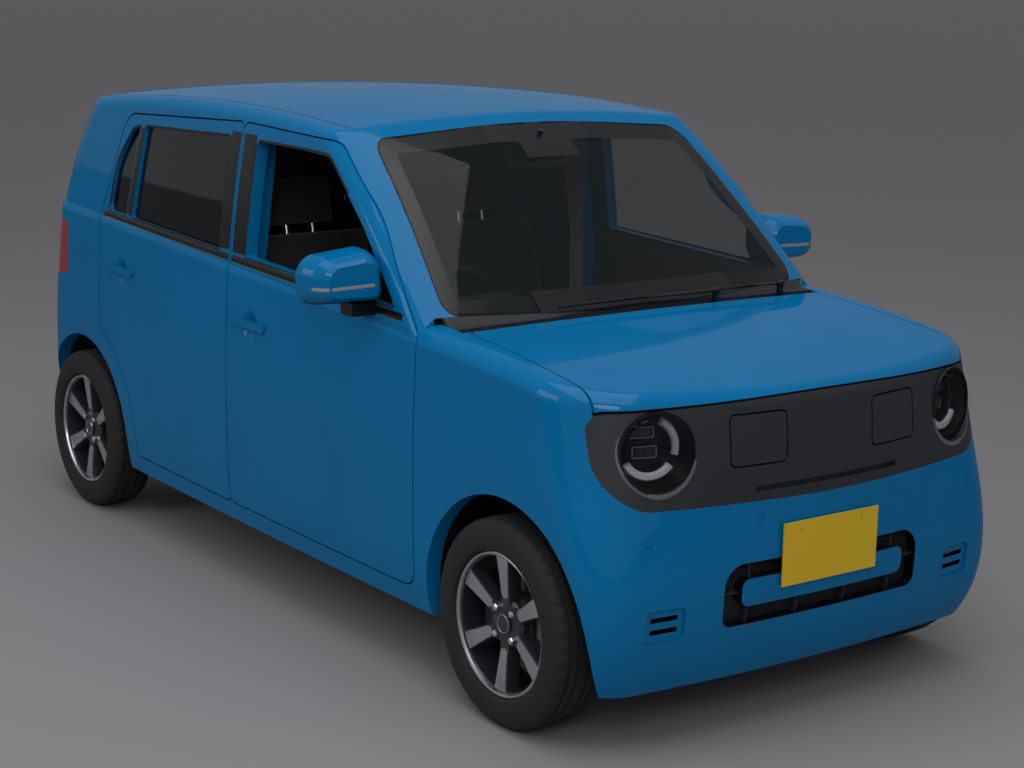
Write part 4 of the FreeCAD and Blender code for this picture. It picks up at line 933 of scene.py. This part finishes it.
def wiper(work, x, reach):
    """Pivot with its cap, arm, and a bowed blade with its rubber lip."""
    cap = [(12, 1006), (13.5, 1012), (12, 1020), (8, 1023), (0.1, 1024)]
    spindle = [(0.1, 958), (9.8, 958), (9.8, 1004)]
    work.lathe(Matrix.Translation((x, WIPER_Y, 0)), spindle + cap, BLACK, count=28)
    root, tip = Vector((x, WIPER_Y, ARM_Z)), Vector((x + reach, WIPER_Y, ARM_Z))
    work.tube([root.lerp(tip, share) for share in (0.0, 0.12, 0.3, 0.46)], [8, 7, 5, 4.2], BLACK, count=12,
              flat=0.7)
    for start, stop, from_turn in ((0.02, 0.5, 0), (0.5, 1.0, 1)):
        run = run_of(root.lerp(tip, start), root.lerp(tip, stop), 12)
        bow = [3 * math.sin(math.pi * (from_turn + k / 11) / 2) - 1 for k in range(12)]
        work.tube([p + Vector((0, 4, up)) for p, up in zip(run, bow)], 3.6, BLACK, count=8)
        work.tube([p + Vector((0, 9, -3)) for p in run], 1.6, RUBBER, count=6)


work = Work()
for x, reach in WIPERS:
    wiper(work, x, reach)
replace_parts(work.done("wiper_set", "body", "black_gloss"), "wipers")

# Mirrors: glass at the back, indicator strip at the front.
for side, sign in SIDES:
    work = Work()
    strip = run_of((sign * 735, -800, 1071.3), (sign * 905, -800, 1067.9), 18)
    laid(work, surface("mirror_" + side), strip, 9.0, (0, 1, 0), INDICATOR, proud=0.8, deep=1.0, across=2)
    work.prism(frame_at((sign * 797, -572.4, 1088), (0, 1, 0)), inset(206, 124, 0, 40), -3, 0.3, MIRROR)
    work.done("mirror_dress_" + side, "door_front_" + side, "black_gloss")

# Tail: corners of the tailgate beside the lamps, lamp fields, high lamp, window border, wiper, handle.

GAP = 5.0
TAIL_FOOT, TAIL_HALF, TAIL_FLARE = 604.0, 592.0 - GAP, 10 / 406  # tailgate's foot, half width there, flare
CORNER_X, LAMP_X = 430.0, 609.0  # where the corner pieces start, and where the lamps begin
CORNER_Z = [*np.arange(776, 1000, 6.0), 1001.5]


def tail_edge(z):
    """Half width of the tailgate at one height."""
    return TAIL_HALF + (z - TAIL_FOOT) * TAIL_FLARE


def carried_on(tree, z):
    """The back's skin at one height, carried on over an opening from what stands on both sides of it."""
    seen = [(x, onto(tree, (x, 1500, z), (0, -1, 0))[0]) for x in range(380, 692, 8)]
    seen = np.array([(x, hit.y) for x, hit in seen if hit is not None and hit.y > 1500])
    for limit in (2.5, 0.8):
        curve = np.polynomial.Polynomial.fit(seen[:, 0], seen[:, 1], 4)
        seen = seen[np.abs(curve(seen[:, 0]) - seen[:, 1]) < limit]
    return curve


def filled(work, sign, curves, edges, low, high, material):
    """Skin between two edges at each curve's height, from low to high below the outside."""
    rows = []
    for z, curve in curves:
        across = [(x, float(curve(x))) for x in np.linspace(*edges(z), 15)]
        rows.append([Vector((sign * x, y - low, z)) for x, y in across]
                    + [Vector((sign * x, y - high, z)) for x, y in across[::-1]])
    work.stack(rows, material)


corner_skin = surface("tailgate", "tail_lamps", "body_side_left")
curves = [(z, carried_on(corner_skin, z)) for z in CORNER_Z]
for side, sign in SIDES:
    work = Work()
    for low, high, made_of in ((0.4, 2.4, PAINT), (2.4, 4.4, DOOR_CARD)):
        filled(work, sign, curves, lambda z: (CORNER_X, tail_edge(z)), low, high, made_of)
    work.done("tailgate_corner_" + side, "tailgate", "paint")
    work = Work()
    filled(work, sign, curves, lambda z: (tail_edge(z) + GAP, LAMP_X), 0.4, 8.0, PAINT)
    work.done("tail_lamp_border_" + side, "body", "paint")

BACK = (0, -1, 0)
lamp_skin = surface("tail_lamps")
for side, sign in SIDES:
    work = Work()
    for z0, z1, made_of in ((800, 842, CLEAR_TAIL), (952, 994, AMBER)):
        middle = (z0 + z1) / 2
        laid(work, lamp_skin, run_of((sign * 622, 1500, middle), (sign * 700, 1500, middle), 12), z1 - z0,
             BACK, made_of, proud=0.6, deep=1.0, across=4)
    for z in (848, 946):
        laid(work, lamp_skin, run_of((sign * 615, 1500, z), (sign * 704, 1500, z), 12), 4.0, BACK, BLACK,
             proud=0.9, deep=1.0, across=1)
    if work.points:
        work.done("tail_lamp_dress_" + side, "body", "tail_lens")

GLASS_OUT = [(-505, 1060, 70), (505, 1060, 70), (455, 1385, 75), (-455, 1385, 75)]
tail_skin = surface("tailgate", "tailgate_window")
work = Work()
seal(work, tail_skin, GLASS_OUT, BACK, lambda p: (p.x, 1500, p.y), 4.0, 9.0, 20.0, 8)
for half, z, count, wide, made_of, proud, across in ((150, 1430, 20, 18.0, BRAKE, 1.2, 2),
                                                     (230, 925, 30, 34.0, BLACK, 3.0, 3)):
    laid(work, tail_skin, run_of((-half, 1500, z), (half, 1500, z), count), wide, BACK, made_of, proud=proud,
         deep=1.5, across=across)
hit, normal = onto(tail_skin, (0, 1500, 1046), BACK)
if hit is not None:
    work.prism(frame_at(hit, normal), circle(15, 28), -2, 12, BLACK, bevel=5)
    blade = [onto(tail_skin, (x, 1500, 1072 + 8 * math.sin(x / 120)), BACK)[0]
             for x in np.linspace(6, 330, 24)]
    if None not in blade:
        work.tube([p + Vector((0, 7, 0)) for p in blade], 4.4, BLACK, count=8)
work.done("tailgate_dress", "tailgate", "black_gloss")

# Cabin: seats, wheel and displays.

SEWN, SEWN_HALF = (7.0, 6.0), 4.5  # depth of channels along and across a pad, half their width


def pad(work, frame, wide, long, thick, material, bolster=0.0, lines=(), cross=(), steps=(36, 40)):
    """Crowned closed cushion with rounded edges, raised sides and sewn channels."""
    us, vs = ([math.sin(math.pi / 2 * s) for s in np.linspace(-1, 1, n + 1)] for n in steps)

    def crown(u, v, edge):
        side = min(1.0, max(0.0, (abs(u) - 0.56) / 0.22))
        raised = bolster * side * side * (3 - 2 * side) * edge + thick * 0.07 * (1 - u * u) * (1 - v * v)
        along = sum(math.exp(-(((abs(u) - g) * wide / 2) / SEWN_HALF) ** 2) for g in lines)
        over = sum(math.exp(-(((v - c) * long / 2) / SEWN_HALF) ** 2) for c in cross) * (abs(u) < 0.58)
        return raised - (SEWN[0] * along + SEWN[1] * over) * edge

    for face_sign in (1, -1):
        points = []
        for u in us:
            for v in vs:
                edge = max(0.0, (1 - abs(u) ** 6) * (1 - abs(v) ** 6)) ** 0.42
                z = thick / 2 * edge + (crown(u, v, edge) if face_sign > 0 else 0.0)
                pull = 1 - 0.018 * (1 - v * v) * abs(u)
                points.append(frame @ Vector((u * wide / 2 * pull, v * long / 2, z * face_sign)))
        n = len(vs)
        work.put(points, [(i * n + j, (i + 1) * n + j, (i + 1) * n + j + 1, i * n + j + 1)
                          for i in range(len(us) - 1) for j in range(n - 1)], material)


def leaning(x, y, z, back, up):
    """Frame of a pad whose face looks along (0, back, up), its length running up the seat."""
    return frame_at((x, y, z), (0, back, up), (0, up, -back) if back < -0.5 else (0, 1, 0))


front, rear = Work(), Work()
for x in (335, -335):
    front.prism(Matrix.Translation((x, 20, 262)), inset(376, 396, 0, 14), 0, 150, CHASSIS, bevel=6)
    pad(front, leaning(x, 2, 508, 0.075, 1), 478, 496, 146, CLOTH, bolster=20, lines=(0.56,),
        cross=(-0.35, 0.2))
    pad(front, leaning(x, 342, 795, -0.962, 0.272), 462, 530, 104, CLOTH, bolster=22, lines=(0.56,),
        cross=(-0.45, 0.0, 0.5))
    pad(front, leaning(x, 438, 1152, -0.972, 0.236), 234, 148, 74, CLOTH, cross=(0.0,))
    for bar_x in (-48, 48):
        front.tube([(x + bar_x, 418, 1030), (x + bar_x, 434, 1100)], 6.0, CHROME, count=10)
pad(rear, leaning(0, 915, 532, 0.06, 1), 1016, 400, 150, CLOTH, lines=(0.02, 0.5), cross=(0.1,),
    steps=(60, 36))
rear.prism(Matrix.Translation((0, 778, 262)), inset(1010, 112, 0, 10), 0, 198, CARPET, bevel=4)
pad(rear, leaning(0, 1166, 815, -0.971, 0.238), 996, 444, 84, CLOTH, lines=(0.02, 0.5), cross=(0.0,),
    steps=(60, 36))
for x in (270, -270):
    pad(rear, leaning(x, 1232, 1116, -0.98, 0.2), 228, 140, 52, CLOTH, cross=(0.0,))
    for bar_x in (-45, 45):
        rear.tube([(x + bar_x, 1214, 1010), (x + bar_x, 1226, 1080)], 5.5, CHROME, count=10)
for work, name, node in ((front, "front_seat_cushions", "front_seats"),
                         (rear, "rear_bench_cushions", "rear_seat")):
    thing = work.done(name, "body", "fabric", angle=60)
    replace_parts(thing, node)

WHEEL_RIM = (162.0, 13.6)  # radius to the middle of the rim, and the rim's own
column = frame_at((-335, -395, 905), (0, 0.90, 0.436))
work = Work()
work.lathe(column, [(WHEEL_RIM[0] + p.x, p.y) for p in circle(WHEEL_RIM[1], 16)], DASH, count=72)
for turn, half, made_of in ((0, 19, BLACK), (180, 19, BLACK), (270, 17, ALLOY)):
    arm = [Vector(p) for p in ((34, -half), (156, -half * 0.7), (156, half * 0.7), (34, half))]
    work.prism(column @ Matrix.Rotation(math.radians(turn), 4, "Z"), arm, -23, -8, made_of, bevel=2)
work.prism(column, panel(-62, 62, -44, 40, 24), -30, -2, DASH, bevel=7)
work.lathe(column, [(0.1, -108), (11.5, -108), (11.5, -60), (30, -44), (38, -28), (0.1, -28)], BLACK,
           count=40)
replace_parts(work.done("steering_wheel_rim", "steering_wheel", "dark_plastic"), "steering_wheel")

work = Work()
for x, z, y, wide, high in ((25, 862, -529, 224, 100), (-335, 931, -533, 192, 60)):
    seat = frame_at((x, y, z), (0, 0.99, 0.1))
    work.prism(seat, inset(wide, high, 0, 9), -6, 5, BLACK, bevel=2)
    work.prism(seat, inset(wide, high, 6, 5), 4.5, 5.6, PROJECTOR)
for x in (-560, -110, 205, 560):
    seat = frame_at((x, -529, 858), (0, 0.99, 0.1))
    work.prism(seat, inset(88, 44, 0, 8), -6, 3, BLACK, bevel=2)
    for up in (-14, -5, 4, 13):
        work.prism(seat @ Matrix.Translation((0, up, 0)), inset(80, 3, 0, 1), 2.5, 5, EDGE_AND_BELT_HIGHLIGHT)
work.done("dash_displays", "body", "black_gloss")

# Floor, light and camera.


FLOOR = finish("grey_floor", "#949192", rough=0.85)[0]
REACH = 150000.0
floor = bpy.data.meshes.new("floor")
floor.from_pydata([Vector((x, y, 0)) * REACH * MM for x, y in ((-1, -1), (1, -1), (1, 1), (-1, 1))], [],
                  [(0, 1, 2, 3)])
floor.materials.append(FLOOR)
thing = bpy.data.objects.new("floor", floor)
bpy.context.scene.collection.objects.link(thing)

world = bpy.data.worlds.new("studio")
bpy.context.scene.world = world
world.use_nodes = True
world.node_tree.nodes["Background"].inputs["Color"].default_value = linear("#dfe2e6")
world.node_tree.nodes["Background"].inputs["Strength"].default_value = 0.38

LAMPS = [  # name, place, what it points at, size x and y (mm), power (W)
    ("ceiling_bank", (-900, -1400, 5200), (0, 0, 0), (4200, 6400), 120),
    ("front_bank", (-4200, -6500, 4200), (0, -400, 600), (3200, 2200), 95),
    ("side_bank", (-6500, 1200, 3600), (0, 0, 700), (3600, 2600), 60),
]
for name, place, target, (wide, deep), power in LAMPS:
    lamp = bpy.data.lights.new(name, "AREA")
    lamp.shape, lamp.size, lamp.size_y, lamp.energy = "RECTANGLE", wide * MM, deep * MM, power
    thing = bpy.data.objects.new(name, lamp)
    thing.location = Vector(place) * MM
    thing.rotation_euler = (Vector(target) - Vector(place)).to_track_quat("-Z", "Y").to_euler()
    bpy.context.scene.collection.objects.link(thing)

AZIMUTH, ELEVATION, ROLL = (math.radians(a) for a in (-35.921, 12.237, 1.0))
CAMERA_PLACE = (-3581.8, -5241.5, 1970.5)
FOCAL_PIXELS, PICTURE_WIDE, SENSOR = 2026.08, 1024, 36.0
camera = bpy.data.objects.new("camera", bpy.data.cameras.new("camera"))
bpy.context.scene.collection.objects.link(camera)
bpy.context.scene.camera = camera
back = Vector((math.sin(AZIMUTH) * math.cos(ELEVATION), -math.cos(AZIMUTH) * math.cos(ELEVATION),
               math.sin(ELEVATION)))
level = (-back).cross(Vector((0, 0, 1))).normalized()
plumb = level.cross(-back)
right = level * math.cos(ROLL) + plumb * math.sin(ROLL)
up = plumb * math.cos(ROLL) - level * math.sin(ROLL)
turned = Matrix((right, up, back)).transposed().to_4x4()
camera.matrix_world = Matrix.Translation(Vector(CAMERA_PLACE) * MM) @ turned
camera.data.sensor_width = SENSOR
camera.data.lens = SENSOR * FOCAL_PIXELS / PICTURE_WIDE
camera.data.clip_end = 500.0
bpy.context.scene.view_settings.view_transform = "Standard"
